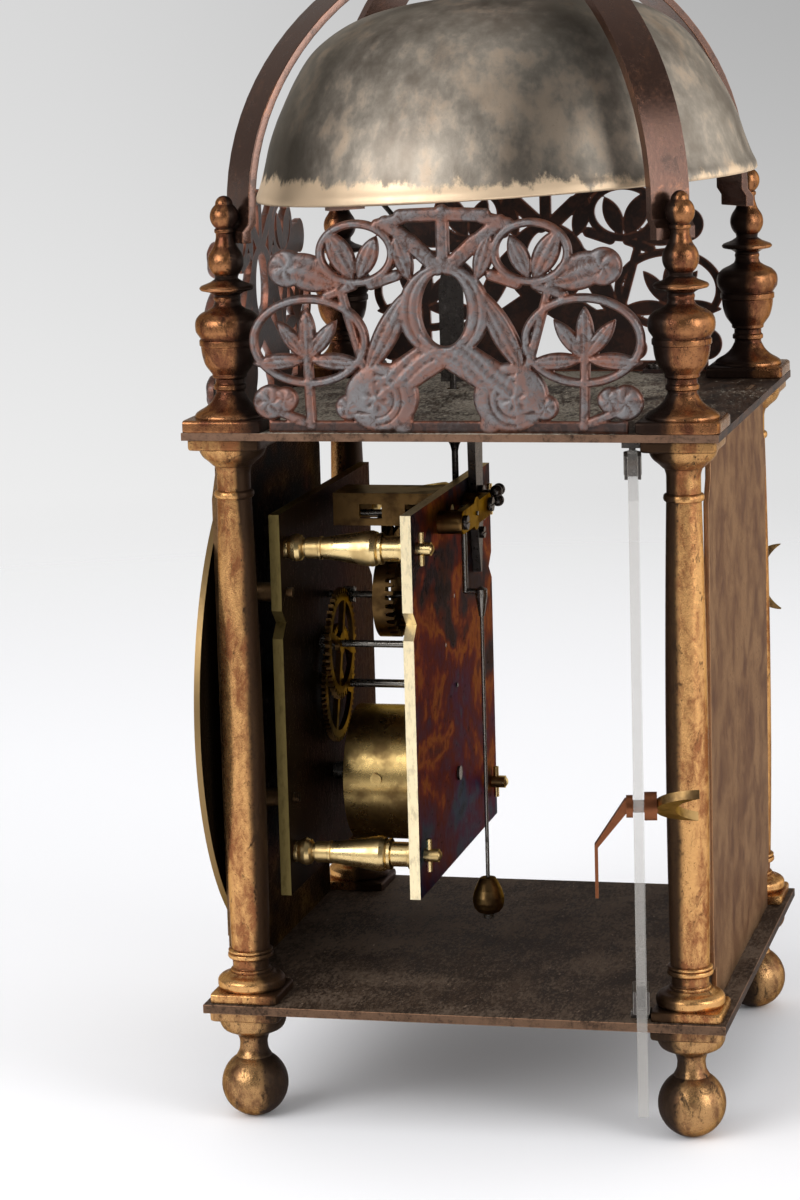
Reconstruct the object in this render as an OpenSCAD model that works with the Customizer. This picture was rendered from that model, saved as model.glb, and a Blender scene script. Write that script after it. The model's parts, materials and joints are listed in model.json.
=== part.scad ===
// Lantern clock with glazed side doors, a spring-driven verge movement and a bell under crossed straps.
// Millimetres. The dial faces -Y, +X is the right-hand side seen from the dial, +Z is up.
// The four feet stand on z = 0 and the four columns are centred on the Z axis.

/* [Case] */
// Distance between neighbouring column axes
column_spacing = 120; // [114:1:126]
// How far the base and top plates reach past the column axes
plate_margin = 10.8; // [10.4:0.2:14]
// Clear height between the base plate and the top plate
case_height = 153; // [150:1:162]
// Thickness of the base plate
base_thick = 2.4; // [2:0.2:3]
// Thickness of the top plate
top_thick = 2; // [1.8:0.2:2.6]
// Height of the ball feet, floor to base plate
foot_height = 30.9; // [30.4:0.1:32]
// Radius of the ball at the bottom of each foot
foot_ball_r = 9.1; // [8.6:0.1:9.6]
// Radius of a column at the fullest part of its swelling
shaft_r = 5.6; // [5:0.1:5.8]
// Radius of a finial at the lip of its cup
finial_cup_r = 8.8; // [8:0.1:9.4]

/* [Bell] */
// Radius of the bell at its rim
bell_r = 68.5; // [64:0.5:70]
// Height of the bell, rim to crown
bell_height = 51.5; // [46:0.5:53]
// Wall of the bell
bell_wall = 2.2; // [1.8:0.1:2.8]
// How far the bell's rim swings towards the back, in degrees
bell_lean = 2.6; // [0:0.2:3]
// Width of the two bell straps
strap_width = 12; // [10:0.5:13]
// Thickness of the two bell straps
strap_thick = 2.2; // [1.6:0.1:2.6]

/* [Dial] */
// Outer radius of the chapter ring, as a share of the height of the case
chapter_share = 0.474; // [0.45:0.001:0.483]
// Width of the chapter ring
chapter_width = 25; // [22:0.5:27]
// Height of the dial centre above the base plate, as a share of the height of the case
dial_share = 0.487; // [0.487:0.001:0.492]

/* [Doors] */
// Width of a glass door, hinge axis to free edge
door_width = 90; // [86:1:92]
// Thickness of the glass
glass_thick = 2.5; // [2:0.25:3]
// How far the right door stands open, in degrees
right_door_open = 100; // [80:1:105]
// How far the left door stands open, in degrees
left_door_open = 87; // [80:1:100]

/* [Movement] */
// Half the width of the movement plates
movement_half = 50; // [49:0.5:51]
// Height of the movement plates
movement_height = 104.8; // [104:0.2:106]
// Thickness of the movement plates
movement_thick = 2.9; // [2.6:0.1:3.2]
// Radius of the spring barrel
barrel_r = 19; // [17:0.5:19.5]

/* [Hidden] */
$fn = 48;
fit = 0.06;
half = column_spacing / 2;
plate_half = half + plate_margin;
base_z = foot_height;
floor_z = base_z + base_thick;
roof_z = floor_z + case_height;
top_z = roof_z + top_thick;
spigot_r = 3;
spigot_depth = 4;
corners = [[half, -half], [half, half], [-half, half], [-half, -half]];

// Column sizes, measured up from the base plate and down from the top plate.
column_plinth = 18.8;
column_plinth_h = 2.6;
abacus = 19.6;
abacus_h = 2.9;
finial_plinth = 21.8;
finial_plinth_h = 3.3;
foot_plinth = 19.3;
foot_plinth_h = 2.7;

// Dial: the chapter ring lies on the dial plate, in front of the columns.
dial_z = floor_z + dial_share * case_height;
chapter_r = chapter_share * case_height;
ring_front = -half - 9.7;
ring_thick = 1.6;
ring_back = ring_front + ring_thick;
dial_thick = 1.5;
dial_back = ring_back + dial_thick;
panel_half = half - 6.2;
panel_neck = half - 9.9;
case_inner = half + 4;

// Movement plates.
front_outer = -half + 6.3;
front_inner = front_outer + movement_thick;
back_outer = -half + 45.3;
back_inner = back_outer - movement_thick;
movement_top = dial_z + 55.8;
movement_bottom = movement_top - movement_height;

// Going train. Each wheel drives the pinion on the next arbor.
great_teeth = 72;
great_module = 0.6325;
pinion_leaves = 8;
small_leaves = 6;
centre_teeth = 60;
third_teeth = 42;
contrate_teeth = 30;
crown_teeth = 21;
great_distance = great_module * (great_teeth + pinion_leaves) / 2;
barrel_z = dial_z - great_distance;
third_x = 12;
third_rise = 13.7;
third_z = dial_z + third_rise;
centre_distance = sqrt(third_x * third_x + third_rise * third_rise);
centre_module = 2 * centre_distance / (centre_teeth + pinion_leaves);
third_module = 0.7;
third_distance = third_module * (third_teeth + small_leaves) / 2;
contrate_z = third_z + sqrt(third_distance * third_distance - third_x * third_x);
contrate_r = 11.2;
crown_r = 7;
verge_y = back_inner - 10.4;
verge_z = dial_z + 48.8;
crown_top = verge_z - 3.1;
pendulum_y = back_outer + 7.7;
bob_z = floor_z + 13.3;

// Motion work behind the dial.
motion_module = 0.5;
cannon_teeth = 10;
minute_teeth = 30;
hour_leaves = 8;
hour_teeth = 32;
motion_distance = motion_module * (cannon_teeth + minute_teeth) / 2;

// Doors: hinge axes, and the latch that passes behind the front column.
hinge_x = half + 4;
hinge_y = half - 12.5;
glass_low = floor_z + 2.2;
glass_high = roof_z - 2.3;
latch_reach = door_width - 8;
latch_z = (glass_low + glass_high) / 2;

// The left glass was drilled a little higher than the right one.
left_latch_lift = 4.3;
latch_depth = 9.8;

// Bell straps: an oval arch that starts beside the finial necks.
arch_low = top_z + 56.7;
arch_a = half * sqrt(2) - 4;
arch_b = 70;
strap_foot = top_z + 48.6;
neck_r = 2.4;
neck_reach = half * sqrt(2);
crown_flat = arch_low + arch_b - 0.4;
strap_under = crown_flat - strap_thick;
bell_crown = strap_under - 13.6;
lean_z = strap_under - 5;
stud_r = 2.2;

// Hammer: an upright arbor behind the left half of the movement.
hammer_x = -26;
hammer_y = back_inner - 1.8;
bracket_z = movement_top + 12.8;
hammer_rest = 268.4;

// The head hangs this far inside the bell's rim, however far apart the columns stand.
head_inset = 18.1;
hammer_arm = bell_r - head_inset + hammer_y;

// Frets: the foliage stands on a strip along each plate edge.
fret_thick = 1.8;
fret_face = half + 9.1;
fret_strip = 3.1;

// Hands and motion work along the dial's axis.
hour_hand_y = ring_front - 0.6;
minute_hand_y = hour_hand_y - 1.6;
hour_turn = 305;
minute_turn = 60;
arbor_r = 1.2;
cannon_r = 1.9;
pipe_r = 3;
numeral_h = 13;
numeral_deep = 0.3;

// Arbors, pillars and posts.
pivot_r = 0.6;
barrel_pivot = 2;
arbor_barrel = 2.5;
barrel_front = front_inner + 7.3;
third_y = front_inner + 5.2;
third_turn = atan2(contrate_z - third_z, -third_x);
pillar_x = movement_half - 6;
pillar_low = movement_bottom + 11;
pillar_high = movement_top - 9.8;
post_x = movement_half - 6;
channel_front = front_inner + 4;
cock_back = back_outer + 7;
crown_module = 0.733;
hammer_low = verge_z - 6.6;

// Ratchet and click in front of the front plate.
ratchet_teeth = 24;
click_turn = 30;
click_x = 14.5 * cos(click_turn + 50);
click_z = barrel_z + 14.5 * sin(click_turn + 50);

// Door fittings.
clip_h = 6;
clip_inset = 0.9;
hinge_pin_r = 0.85;
spindle_r = 1.5;
crescent_r = 10.3;
crescent_turn = 62;
left_turn = 180 - crescent_turn;

brass = [0.72, 0.52, 0.24];
aged = [0.50, 0.33, 0.17];
steel = [0.35, 0.35, 0.37];
copper = [0.58, 0.28, 0.17];
clear = [0.85, 0.93, 0.93, 0.35];
pewter = [0.52, 0.49, 0.44];

base_plate();
top_plate();
column(0);  // column_front_right
column(1);  // column_back_right
column(2);  // column_back_left
column(3);  // column_front_left
feet();
finial(0);  // finial_front_right
finial(1);  // finial_back_right
finial(2);  // finial_back_left
finial(3);  // finial_front_left
fret(-90);  // fret_front
fret(0);  // fret_right
fret(180);  // fret_left
screws();
bell();
bell_strap(-45, 0);  // bell_strap_lower
bell_strap(45, strap_thick);  // bell_strap_upper
bell_stud();
bell_nut();
top_finial();
dial_plate();
chapter_ring();
numerals();
hour_hand();
minute_hand();
cannon_pinion();
hour_wheel();
minute_wheel();
case_back();
door(0) door_glass(0);  // door_glass_right
door(1) door_glass(1);  // door_glass_left
door(0) door_clips();  // door_clips_right
door(1) door_clips();  // door_clips_left
hinge_lugs();
door(0) latch(0, 0);  // latch_right
door(1) latch(1, left_turn);  // latch_left
door(0) crescent(0, 0);  // crescent_right
door(1) crescent(1, left_turn);  // crescent_left
movement_front();
movement_back();
movement_pillars();
barrel();
barrel_arbor();
ratchet_wheel();
click();
centre_arbor();
centre_wheel();
third_arbor();
third_wheel();
contrate_arbor();
contrate_wheel();
crown_wheel();
potences();
back_cock();
verge();
pendulum_rod();
bob();
hammer_bracket();
hammer();

// Turns about the upright axis.
module spun(points) {
    rotate_extrude() polygon(points);
}

// A round moulding of the given radius and thickness, centred at height z.
module bead(reach, tube, z) {
    translate([0, 0, z]) rotate_extrude() translate([reach - tube, 0]) circle(tube);
}

// Lays a drawing in the XZ plane and gives it the thickness from y_front to y_back.
module slab(y_front, y_back) {
    translate([0, y_back, 0]) rotate([90, 0, 0]) linear_extrude(y_back - y_front) children();
}

// A rod along Y at (x, z).
module rod_y(x, z, r, y_front, y_back) {
    translate([x, y_back, z]) rotate([90, 0, 0]) cylinder(h = y_back - y_front, r = r);
}

// A rod between two points, with rounded ends.
module wire(from, to, r) {
    run = to - from;
    flat = sqrt(run[0] * run[0] + run[1] * run[1]);
    translate(from) {
        rotate([0, atan2(flat, run[2]), atan2(run[1], run[0])]) cylinder(h = norm(run), r = r);
        sphere(r);
    }
    translate(to) sphere(r);
}

// A bar with round ends between two points of a drawing.
module limb(from, to, width) {
    run = to - from;
    translate(from) rotate(atan2(run[1], run[0])) {
        translate([0, -width / 2]) square([norm(run), width]);
        circle(width / 2);
        translate([norm(run), 0]) circle(width / 2);
    }
}

// A pointed leaf: the overlap of two circles, starting at its root.
module leaf(root, turn, length, width) {
    bend = (length * length + width * width) / (4 * width);
    translate(root) rotate(turn) translate([length / 2, 0]) intersection() {
        translate([0, bend - width / 2]) circle(bend);
        translate([0, width / 2 - bend]) circle(bend);
    }
}

// An oval drawn as an even polygon.
module oval(centre, half_wide, half_high) {
    sides = 36;
    translate(centre) polygon([for (i = [0:sides - 1])
        [half_wide * cos(360 * i / sides), half_high * sin(360 * i / sides)]]);
}

module oval_ring(centre, half_wide, half_high, stroke) {
    difference() {
        oval(centre, half_wide, half_high);
        oval(centre, half_wide - stroke, half_high - stroke);
    }
}

// Outline of a wheel: each tooth is root, pitch line, tip, pitch line, root.
function teeth_outline(count, size, turn, tips, share, tip, root) = [for (i = [0:count - 1])
    for (p = concat([[-root, -1], [0, -1]], [for (s = tips) [tip, s]], [[0, 1], [-root, 1]]))
    let (a = turn + 360 / count * (i + p[1] * share / 2), r = size * (count / 2 + p[0]))
    [r * cos(a), r * sin(a)]];

module wheel_teeth(count, size, turn) {
    polygon(teeth_outline(count, size, turn, [0], 0.46, 1.25, 1.05));
}

module leaves(count, size, turn) {
    polygon(teeth_outline(count, size, turn, [-0.5, 0.5], 0.36, 0.45, 1.4));
}

// A crossed-out wheel: rim with teeth, four arms and a hub on its arbor.
module crossed_wheel(count, size, turn, rim, hub, bore) {
    inner = size * (count / 2 - 1.05) - rim;
    difference() {
        wheel_teeth(count, size, turn);
        difference() {
            circle(inner);
            circle(hub);
            for (a = [0, 90]) rotate(a + 20) square([3 * inner, 1.8], center = true);
        }
        circle(bore);
    }
}

// Plate outline between four columns: narrow beside their mouldings, with tenons above and below.
module panel_outline(tenon_low, tenon_high) {
    low = floor_z + 14.6;
    high = roof_z - 18;
    polygon([[-panel_neck, floor_z], [panel_neck, floor_z], [panel_neck, low - 4.6],
        [panel_half - 0.8, low - 4.6], [panel_half - 0.8, low], [panel_half, low],
        [panel_half, high], [panel_neck, high + 6], [panel_neck, roof_z],
        [-panel_neck, roof_z], [-panel_neck, high + 6], [-panel_half, high],
        [-panel_half, low], [-panel_half + 0.8, low], [-panel_half + 0.8, low - 4.6],
        [-panel_neck, low - 4.6]]);
    for (x = [-30, 30]) {
        translate([x - 5, floor_z - tenon_low]) square([10, tenon_low + 1]);
        translate([x - 5, roof_z - 1]) square([10, tenon_high + 1]);
    }
}

// Openings that a plate has for the tenons of the dial and of the case back.
module tenon_slots(z, thick) {
    for (x = [-30, 30]) for (y = [ring_back, case_inner])
        translate([x - 5 - fit, y - fit, z - 1])
            cube([10 + 2 * fit, dial_thick + 2 * fit, thick + 2]);
}

module corner_holes(z, thick) {
    for (c = corners) translate([c[0], c[1], z - 1]) cylinder(h = thick + 2, r = spigot_r + fit);
}

module base_plate() {
    color(aged) difference() {
        translate([-plate_half, -plate_half, base_z]) cube([2 * plate_half, 2 * plate_half, base_thick]);
        corner_holes(base_z, base_thick);
        tenon_slots(base_z, base_thick);
    }
}

module top_plate() {
    color(aged) difference() {
        translate([-plate_half, -plate_half, roof_z]) cube([2 * plate_half, 2 * plate_half, top_thick]);
        corner_holes(roof_z, top_thick);
        tenon_slots(roof_z, top_thick);
        translate([hammer_x, hammer_y, roof_z - 1]) cylinder(h = top_thick + 2, r = 1.8);
        for (a = [-90, 0, 180]) rotate(a) for (y = [-32, 32])
            translate([fret_face - fret_thick - 3, y, roof_z - 1]) cylinder(h = top_thick + 2, r = 1 + fit);
    }
}

// Radius of the swelling shaft at a share of its height: fullest a third of the way up.
function swell(share) = share < 0.35
    ? shaft_r * (1 - 0.08 * pow((0.35 - share) / 0.35, 2))
    : shaft_r * (1 - 0.175 * pow((share - 0.35) / 0.65, 2));

module column(corner) {
    low = floor_z + 13.4;
    high = roof_z - 16.6;
    color(brass) translate([corners[corner][0], corners[corner][1], 0]) {
        translate([0, 0, base_z - spigot_depth]) cylinder(h = spigot_depth + base_thick + 1, r = spigot_r);
        translate([0, 0, roof_z - 1]) cylinder(h = top_thick + spigot_depth + 1, r = spigot_r);
        translate([-column_plinth / 2, -column_plinth / 2, floor_z])
            cube([column_plinth, column_plinth, column_plinth_h]);
        translate([-abacus / 2, -abacus / 2, roof_z - abacus_h]) cube([abacus, abacus, abacus_h]);
        bead(9.1, 1.7, floor_z + column_plinth_h + 1.7);
        bead(6.15, 1.2, floor_z + 12.1);
        bead(5.35, 1.1, roof_z - 15.4);
        spun(concat(
            [[0, floor_z + 2], [7.4, floor_z + 2], [7.4, floor_z + 6], [5.6, floor_z + 6.2],
                [4.9, floor_z + 6.9], [4.95, floor_z + 10.6], [5.15, low]],
            [for (i = [1:13]) [swell(i / 14), low + (high - low) * i / 14]],
            [[swell(1), high], [4.5, roof_z - 14.2], [4.55, roof_z - 8.9], [4.95, roof_z - 7.9],
                [6.35, roof_z - 6.8], [7.9, roof_z - 5.6], [8.8, roof_z - 4.3], [9.1, roof_z - 2.5],
                [0, roof_z - 2.5]]));
    }
}

module feet() {
    color(brass) for (c = corners) translate([c[0], c[1], 0]) difference() {
        union() {
            translate([0, 0, foot_ball_r - 0.2]) sphere(foot_ball_r);
            spun([[0, base_z - 15.3], [4.65, base_z - 15.3], [4.6, base_z - 14.2], [3.9, base_z - 13],
                [3.7, base_z - 10.2], [4.2, base_z - 8.7], [5.4, base_z - 7.5], [7.9, base_z - 6.4],
                [9, base_z - 4.9], [9.2, base_z - 3.7], [9, base_z - 2], [0, base_z - 2]]);
            translate([-foot_plinth / 2, -foot_plinth / 2, base_z - foot_plinth_h])
                cube([foot_plinth, foot_plinth, foot_plinth_h]);
        }
        translate([-foot_ball_r, -foot_ball_r, -2]) cube([2 * foot_ball_r, 2 * foot_ball_r, 2]);
        translate([0, 0, base_z - spigot_depth - 0.4]) cylinder(h = spigot_depth + 1, r = spigot_r + fit);
    }
}

// Cup, disc, ball and button that end every finial, drawn from the foot of its cup.
module finial_head() {
    spun([[0, -0.6], [4.4, -0.6], [4.9, 0.3], [5.6, 1.6], [6.3, 4.2], [6.6, 6.6], [6.75, 9.4],
        [7.3, 10], [7.5, 10.4], [7.5, 12.4], [8.1, 13.2], [finial_cup_r - 0.1, 14.4],
        [finial_cup_r, 15.3], [finial_cup_r - 0.2, 16.6], [8, 17.8], [7.3, 18.6], [5.2, 19.4],
        [3.4, 19.9], [3.3, 21.2], [3.3, 22.4], [3.2, 23.2], [4.2, 24], [7, 24.3], [7.3, 25],
        [7, 25.8], [4, 26.3], [2.9, 27], [2.9, 28.5], [0, 28.5]]);
    bead(3.8, 0.8, 21.7);
    translate([0, 0, 31.9]) sphere(4.75);
    translate([0, 0, 33]) cylinder(h = 3.6, r = 3.3);
    translate([0, 0, 34]) cylinder(h = 8, r = neck_r);
    bead(2.75, 0.5, 39.9);
    translate([0, 0, 43.6]) sphere(3.8);
    translate([0, 0, 46.7]) sphere(2.25);
}

module finial(corner) {
    color(copper) translate([corners[corner][0], corners[corner][1], top_z]) difference() {
        union() {
            translate([-finial_plinth / 2, -finial_plinth / 2, 0])
                cube([finial_plinth, finial_plinth, finial_plinth_h]);
            spun([[0, 2.6], [9.6, 2.6], [9.6, 3.6], [9.3, 4.2], [8.5, 4.8], [6.9, 5.7], [5.4, 6.9],
                [4.2, 8.4], [3.7, 9.7], [3.7, 11.6], [0, 11.6]]);
            bead(4.4, 0.9, 11);
            translate([0, 0, 12]) finial_head();
        }
        translate([0, 0, -1]) cylinder(h = spigot_depth + 1.4, r = spigot_r + fit);
    }
}

// The pierced foliage of one fret: crossed dolphins under an oval, leafy scrolls at the sides.
module fret_drawing() {
    translate([-47.3, 0]) square([94.6, fret_strip]);
    difference() {
        union() {
            oval([0, 31.4], 12, 12.3);
            limb([-3, 24], [15.5, 12], 9);
            limb([3, 24], [-15.5, 12], 9);
        }
        oval([0, 31.8], 6.1, 9.4);
    }
    limb([0, 43], [0, 57], 3.4);
    for (side = [0, 1]) mirror([side, 0]) {
        oval([17, 9.3], 9.8, 8.9);
        translate([26, 6.6]) circle(3.4);
        limb([11, 8], [11.5, 2], 5);
        oval_ring([36, 23.8], 16, 12, 2.3);
        oval_ring([22.9, 46.4], 10.6, 8.6, 2.2);
        for (spray = [[90, 13.6, 4.6], [128, 13, 4.2], [52, 13, 4.2], [184, 15, 4.4], [-4, 15, 4.4]])
            leaf([36.5, 19], spray[0], spray[1], spray[2]);
        limb([36.5, 20], [36, 2], 2.6);
        leaf([23.5, 39.5], 62, 14.4, 6.6);
        leaf([22.5, 39.5], 114, 12.4, 5.2);
        leaf([27.5, 38.5], 20, 17.6, 9.4);
        translate([41.5, 42.6]) circle(4.9);
        translate([46.8, 7.9]) circle(4.6);
        translate([42.8, 8.6]) circle(3.4);
        limb([38, 3], [46, 6], 2.6);
        limb([27.8, 38.6], [21, 15], 2.4);
        leaf([21.5, 14], 118, 27, 6.4);
        leaf([8.6, 39], 72, 13, 5);
        limb([1.4, 42.6], [8.6, 49.2], 4.2);
        limb([8.6, 49.2], [15, 54.2], 3.6);
        limb([0, 56.2], [11, 55.8], 3.6);
        limb([10.5, 55.2], [17, 53.6], 3.2);
        limb([12.5, 40.6], [19, 38.4], 3);
        limb([24, 38], [31, 35.5], 2.6);
    }
}

module fret(turn) {
    color(copper) rotate(turn) difference() {
        union() {
            translate([fret_face - fret_thick, 0, top_z]) rotate([90, 0, 90])
                linear_extrude(fret_thick) fret_drawing();
            for (y = [-32, 32]) translate([fret_face - fret_thick - 6, y - 3, top_z]) cube([6.5, 6, 1.2]);
        }
        for (y = [-32, 32])
            translate([fret_face - fret_thick - 3, y, top_z - 1]) cylinder(h = 3.2, r = 1 + fit);
    }
}

// A cheese-head screw that points down, with its head on z = 0.
module screw_down(head, shank, length) {
    difference() {
        cylinder(h = 1.2, r = head);
        translate([-head, -0.25, 0.8]) cube([2 * head, 0.5, 1]);
    }
    translate([0, 0, -length]) cylinder(h = length + 0.1, r = shank);
}

module screws() {
    color(steel) {
        for (a = [-90, 0, 180]) rotate(a) for (y = [-32, 32])
            translate([fret_face - fret_thick - 3, y, top_z + 1.2]) screw_down(2, 1, 3);
        for (x = [-16.5, 16.5]) translate([x, cock_back, verge_z]) rotate([-90, 0, 0]) screw_down(2, 1.1, 9);
        translate([hammer_x, back_outer + 2.3, verge_z + 1.6]) rotate([-90, 0, 0]) {
            screw_down(2.4, 1, 4);
            cylinder(h = 4.4, r = 1.1);
            for (a = [90, 210, 330]) rotate(a) translate([1.9, 0, 5.2]) sphere(1.8);
        }
        for (z = [verge_z - 4.4, verge_z - 9.6])
            translate([hammer_x, back_outer + 2.3, z]) rotate([-90, 0, 0]) screw_down(1.7, 0.8, 4);
    }
}

// Outer profile of the bell as shares of its radius and height, rim first.
bell_shape = [[1, 0], [1, 0.03], [0.981, 0.078], [0.958, 0.175], [0.933, 0.29], [0.905, 0.385],
    [0.876, 0.466], [0.812, 0.621], [0.742, 0.748], [0.66, 0.835], [0.562, 0.903], [0.445, 0.951],
    [0.292, 0.983], [0.13, 0.998], [0.09, 1], [0.0345, 1]];

function bell_point(i) = [bell_shape[i][0] * bell_r, bell_shape[i][1] * bell_height];

// Inward normal at a profile point, from its two neighbours.
function bell_inward(i) =
    let (a = bell_point(max(i - 1, 0)), b = bell_point(min(i + 1, len(bell_shape) - 1)), run = b - a)
    i == 0 ? [-1, 0] : i >= len(bell_shape) - 2 ? [0, -1] : [-run[1], run[0]] / norm(run);

// Leans its children about the point where the bell hangs.
module leaning() {
    translate([0, 0, lean_z]) rotate([bell_lean, 0, 0]) translate([0, 0, -lean_z]) children();
}

module bell() {
    last = len(bell_shape) - 1;
    color(pewter) leaning() translate([0, 0, bell_crown - bell_height]) spun(concat(
        [for (i = [0:last]) bell_point(i)],
        [for (i = [last:-1:0]) bell_point(i) + bell_wall * bell_inward(i)]));
}

module bell_nut() {
    color(steel) leaning() translate([0, 0, bell_crown - bell_wall - 3.5]) difference() {
        cylinder(h = 3.5, r = 5.2, $fn = 6);
        translate([0, 0, -1]) cylinder(h = 6, r = stud_r + fit);
    }
}

// Half of a strap, seen along its width: reach from the centre and height at each step.
function arch(a, b, i, steps) =
    [a * cos(90 * i / steps), min(arch_low + b * sin(90 * i / steps), arch_low + b - 0.4)];

module bell_strap(turn, lift) {
    steps = 22;
    outer = concat([[neck_reach - neck_r + 0.5, strap_foot], [neck_reach - neck_r + 0.5, strap_foot + 3],
        [arch_a + 0.2, arch_low - 3]], [for (i = [0:steps]) arch(arch_a, arch_b + lift, i, steps)]);
    inner = concat([[neck_reach - neck_r - strap_thick, strap_foot],
        [neck_reach - neck_r - strap_thick, strap_foot + 3], [arch_a - strap_thick, arch_low - 3]],
        [for (i = [0:steps]) arch(arch_a - strap_thick, arch_b + lift - strap_thick, i, steps)]);
    half_strap = concat(outer, [for (i = [len(inner) - 1:-1:0]) inner[i]]);
    color(aged) difference() {
        rotate([0, 0, turn]) for (side = [0, 180]) rotate([0, 0, side])
            translate([0, strap_width / 2, 0]) rotate([90, 0, 0])
                linear_extrude(strap_width) polygon(half_strap);
        for (side = [0, 180]) rotate([0, 0, turn + side])
            translate([neck_reach, 0, strap_foot - 1]) cylinder(h = 12, r = neck_r + fit);
        translate([0, 0, strap_under - 2]) cylinder(h = 12, r = stud_r + fit);
    }
}

module bell_stud() {
    shoulder = strap_under - bell_crown;
    color(steel) {
        translate([0, 0, strap_under - 4]) cylinder(h = 4 + 2 * strap_thick + 8, r = stud_r);
        translate([0, 0, strap_under - 2.4]) cylinder(h = 2.4, r = 6);
        leaning() translate([0, 0, bell_crown]) {
            spun([[0, 0], [5.6, 0], [5.6, 1.2], [3.6, 2.6], [3.2, 5], [4.2, shoulder - 5.4],
                [4.2, shoulder - 3.6], [0, shoulder - 3]]);
            translate([0, 0, -bell_wall - 8]) cylinder(h = bell_wall + 9, r = stud_r);
        }
        translate([0, 0, lean_z]) cylinder(h = 4, r = 3.9);
    }
}

module top_finial() {
    color(copper) translate([0, 0, crown_flat + strap_thick]) difference() {
        union() {
            spun([[0, 0], [9, 0], [9.2, 1], [8.8, 2], [6.4, 3.2], [4.4, 5], [3.8, 7], [4.2, 9], [0, 9]]);
            translate([0, 0, 9]) finial_head();
        }
        translate([0, 0, -1]) cylinder(h = 9.4, r = stud_r + fit);
    }
}

module dial_plate() {
    color(brass) {
        difference() {
            slab(ring_back, dial_back) panel_outline(base_thick, top_thick);
            rod_y(0, dial_z, 4.2, ring_back - 1, dial_back + 1);
            rod_y(0, barrel_z, 4.5, ring_back - 1, dial_back + 1);
        }
        for (x = [-post_x, post_x]) for (z = [movement_bottom + 26, movement_top - 22]) {
            rod_y(x, z, 2.6, dial_back - 0.2, front_outer);
            rod_y(x, z, 1.3, dial_back, front_inner + 1.6);
        }
    }
}

// One stroke of a numeral: a bar standing on the line y = 0 that leans by the given angle.
module stroke(lean, width) {
    multmatrix([[1, tan(lean), 0, 0], [0, 1, 0, 0], [0, 0, 1, 0]])
        translate([-width / 2, 0]) square([width, numeral_h]);
}

// Width that a Roman figure takes in its numeral.
function figure_width(figure) = figure == "I" ? 3 : 6.6;

// Sum of the widths of the figures before place i.
function figure_start(word, i) = i == 0 ? 0 : figure_start(word, i - 1) + figure_width(word[i - 1]);

module numeral(word) {
    whole = figure_start(word, len(word));
    for (i = [0:len(word) - 1]) {
        middle = figure_start(word, i) + figure_width(word[i]) / 2 - whole / 2;
        translate([middle, 0]) {
            if (word[i] == "I") stroke(0, 1.7);
            if (word[i] == "V") {
                translate([0.3, 0]) stroke(-9, 1.7);
                translate([-0.3, 0]) stroke(11, 0.9);
            }
            if (word[i] == "X") {
                translate([2.2, 0]) stroke(-18, 1.7);
                translate([-2.2, 0]) stroke(18, 0.9);
            }
        }
    }
}

hours = ["XII", "I", "II", "III", "IIII", "V", "VI", "VII", "VIII", "IX", "X", "XI"];

module numeral_drawing() {
    for (i = [0:11]) translate([0, dial_z]) rotate(-30 * i)
        translate([0, chapter_r - chapter_width + 4.5]) numeral(hours[i]);
}

module chapter_ring() {
    color(brass) difference() {
        slab(ring_front, ring_back) translate([0, dial_z]) difference() {
            circle(chapter_r);
            circle(chapter_r - chapter_width);
        }
        slab(ring_front - 1, ring_front + numeral_deep) numeral_drawing();
    }
}

module numerals() {
    color([0.08, 0.07, 0.06]) slab(ring_front, ring_front + numeral_deep) numeral_drawing();
}

// Turns a hand clockwise about the dial centre.
module hand_at(turn) {
    translate([0, 0, dial_z]) rotate([0, turn, 0]) children();
}

module hour_hand() {
    color(steel) hand_at(hour_turn) slab(hour_hand_y - 0.9, hour_hand_y) difference() {
        union() {
            circle(6);
            limb([0, 4], [0, 17], 3);
            leaf([0.4, 12], 62, 15, 7);
            leaf([-0.4, 12], 118, 15, 7);
            leaf([0, 14], 90, 27, 7);
            limb([-4.6, 25.5], [4.6, 25.5], 1.6);
        }
        circle(pipe_r);
        leaf([1.6, 15.4], 62, 8.6, 3.2);
        leaf([-1.6, 15.4], 118, 8.6, 3.2);
    }
}

module minute_hand() {
    color(steel) {
        hand_at(minute_turn) slab(minute_hand_y - 0.8, minute_hand_y) difference() {
            union() {
                circle(4.6);
                polygon([[-1.5, 2], [-1.1, 30], [-0.5, 58], [0, 60], [0.5, 58], [1.1, 30], [1.5, 2]]);
                leaf([0, 6], 90, 16, 5);
                limb([0, 0], [0, -13], 2.2);
                translate([0, -14]) circle(2.3);
            }
            circle(cannon_r);
        }
        difference() {
            rod_y(0, dial_z, 2.6, minute_hand_y - 1.8, minute_hand_y - 0.8);
            rod_y(0, dial_z, arbor_r + fit, minute_hand_y - 2, minute_hand_y);
        }
    }
}

module cannon_pinion() {
    color(steel) difference() {
        union() {
            slab(front_outer - 3.4, front_outer - 0.6) translate([0, dial_z])
                leaves(cannon_teeth, motion_module, 180);
            rod_y(0, dial_z, cannon_r, minute_hand_y - 0.8, front_outer - 2);
        }
        rod_y(0, dial_z, arbor_r + fit, minute_hand_y - 2, front_outer);
    }
}

module hour_wheel() {
    color(brass) difference() {
        union() {
            slab(front_outer - 6.9, front_outer - 5.5) translate([0, dial_z])
                crossed_wheel(hour_teeth, motion_module, 180 + 180 / hour_teeth, 1.4, 4, cannon_r + fit);
            rod_y(0, dial_z, pipe_r, hour_hand_y - 0.9, front_outer - 5.5);
        }
        rod_y(0, dial_z, cannon_r + fit, minute_hand_y, front_outer);
    }
}

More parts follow.
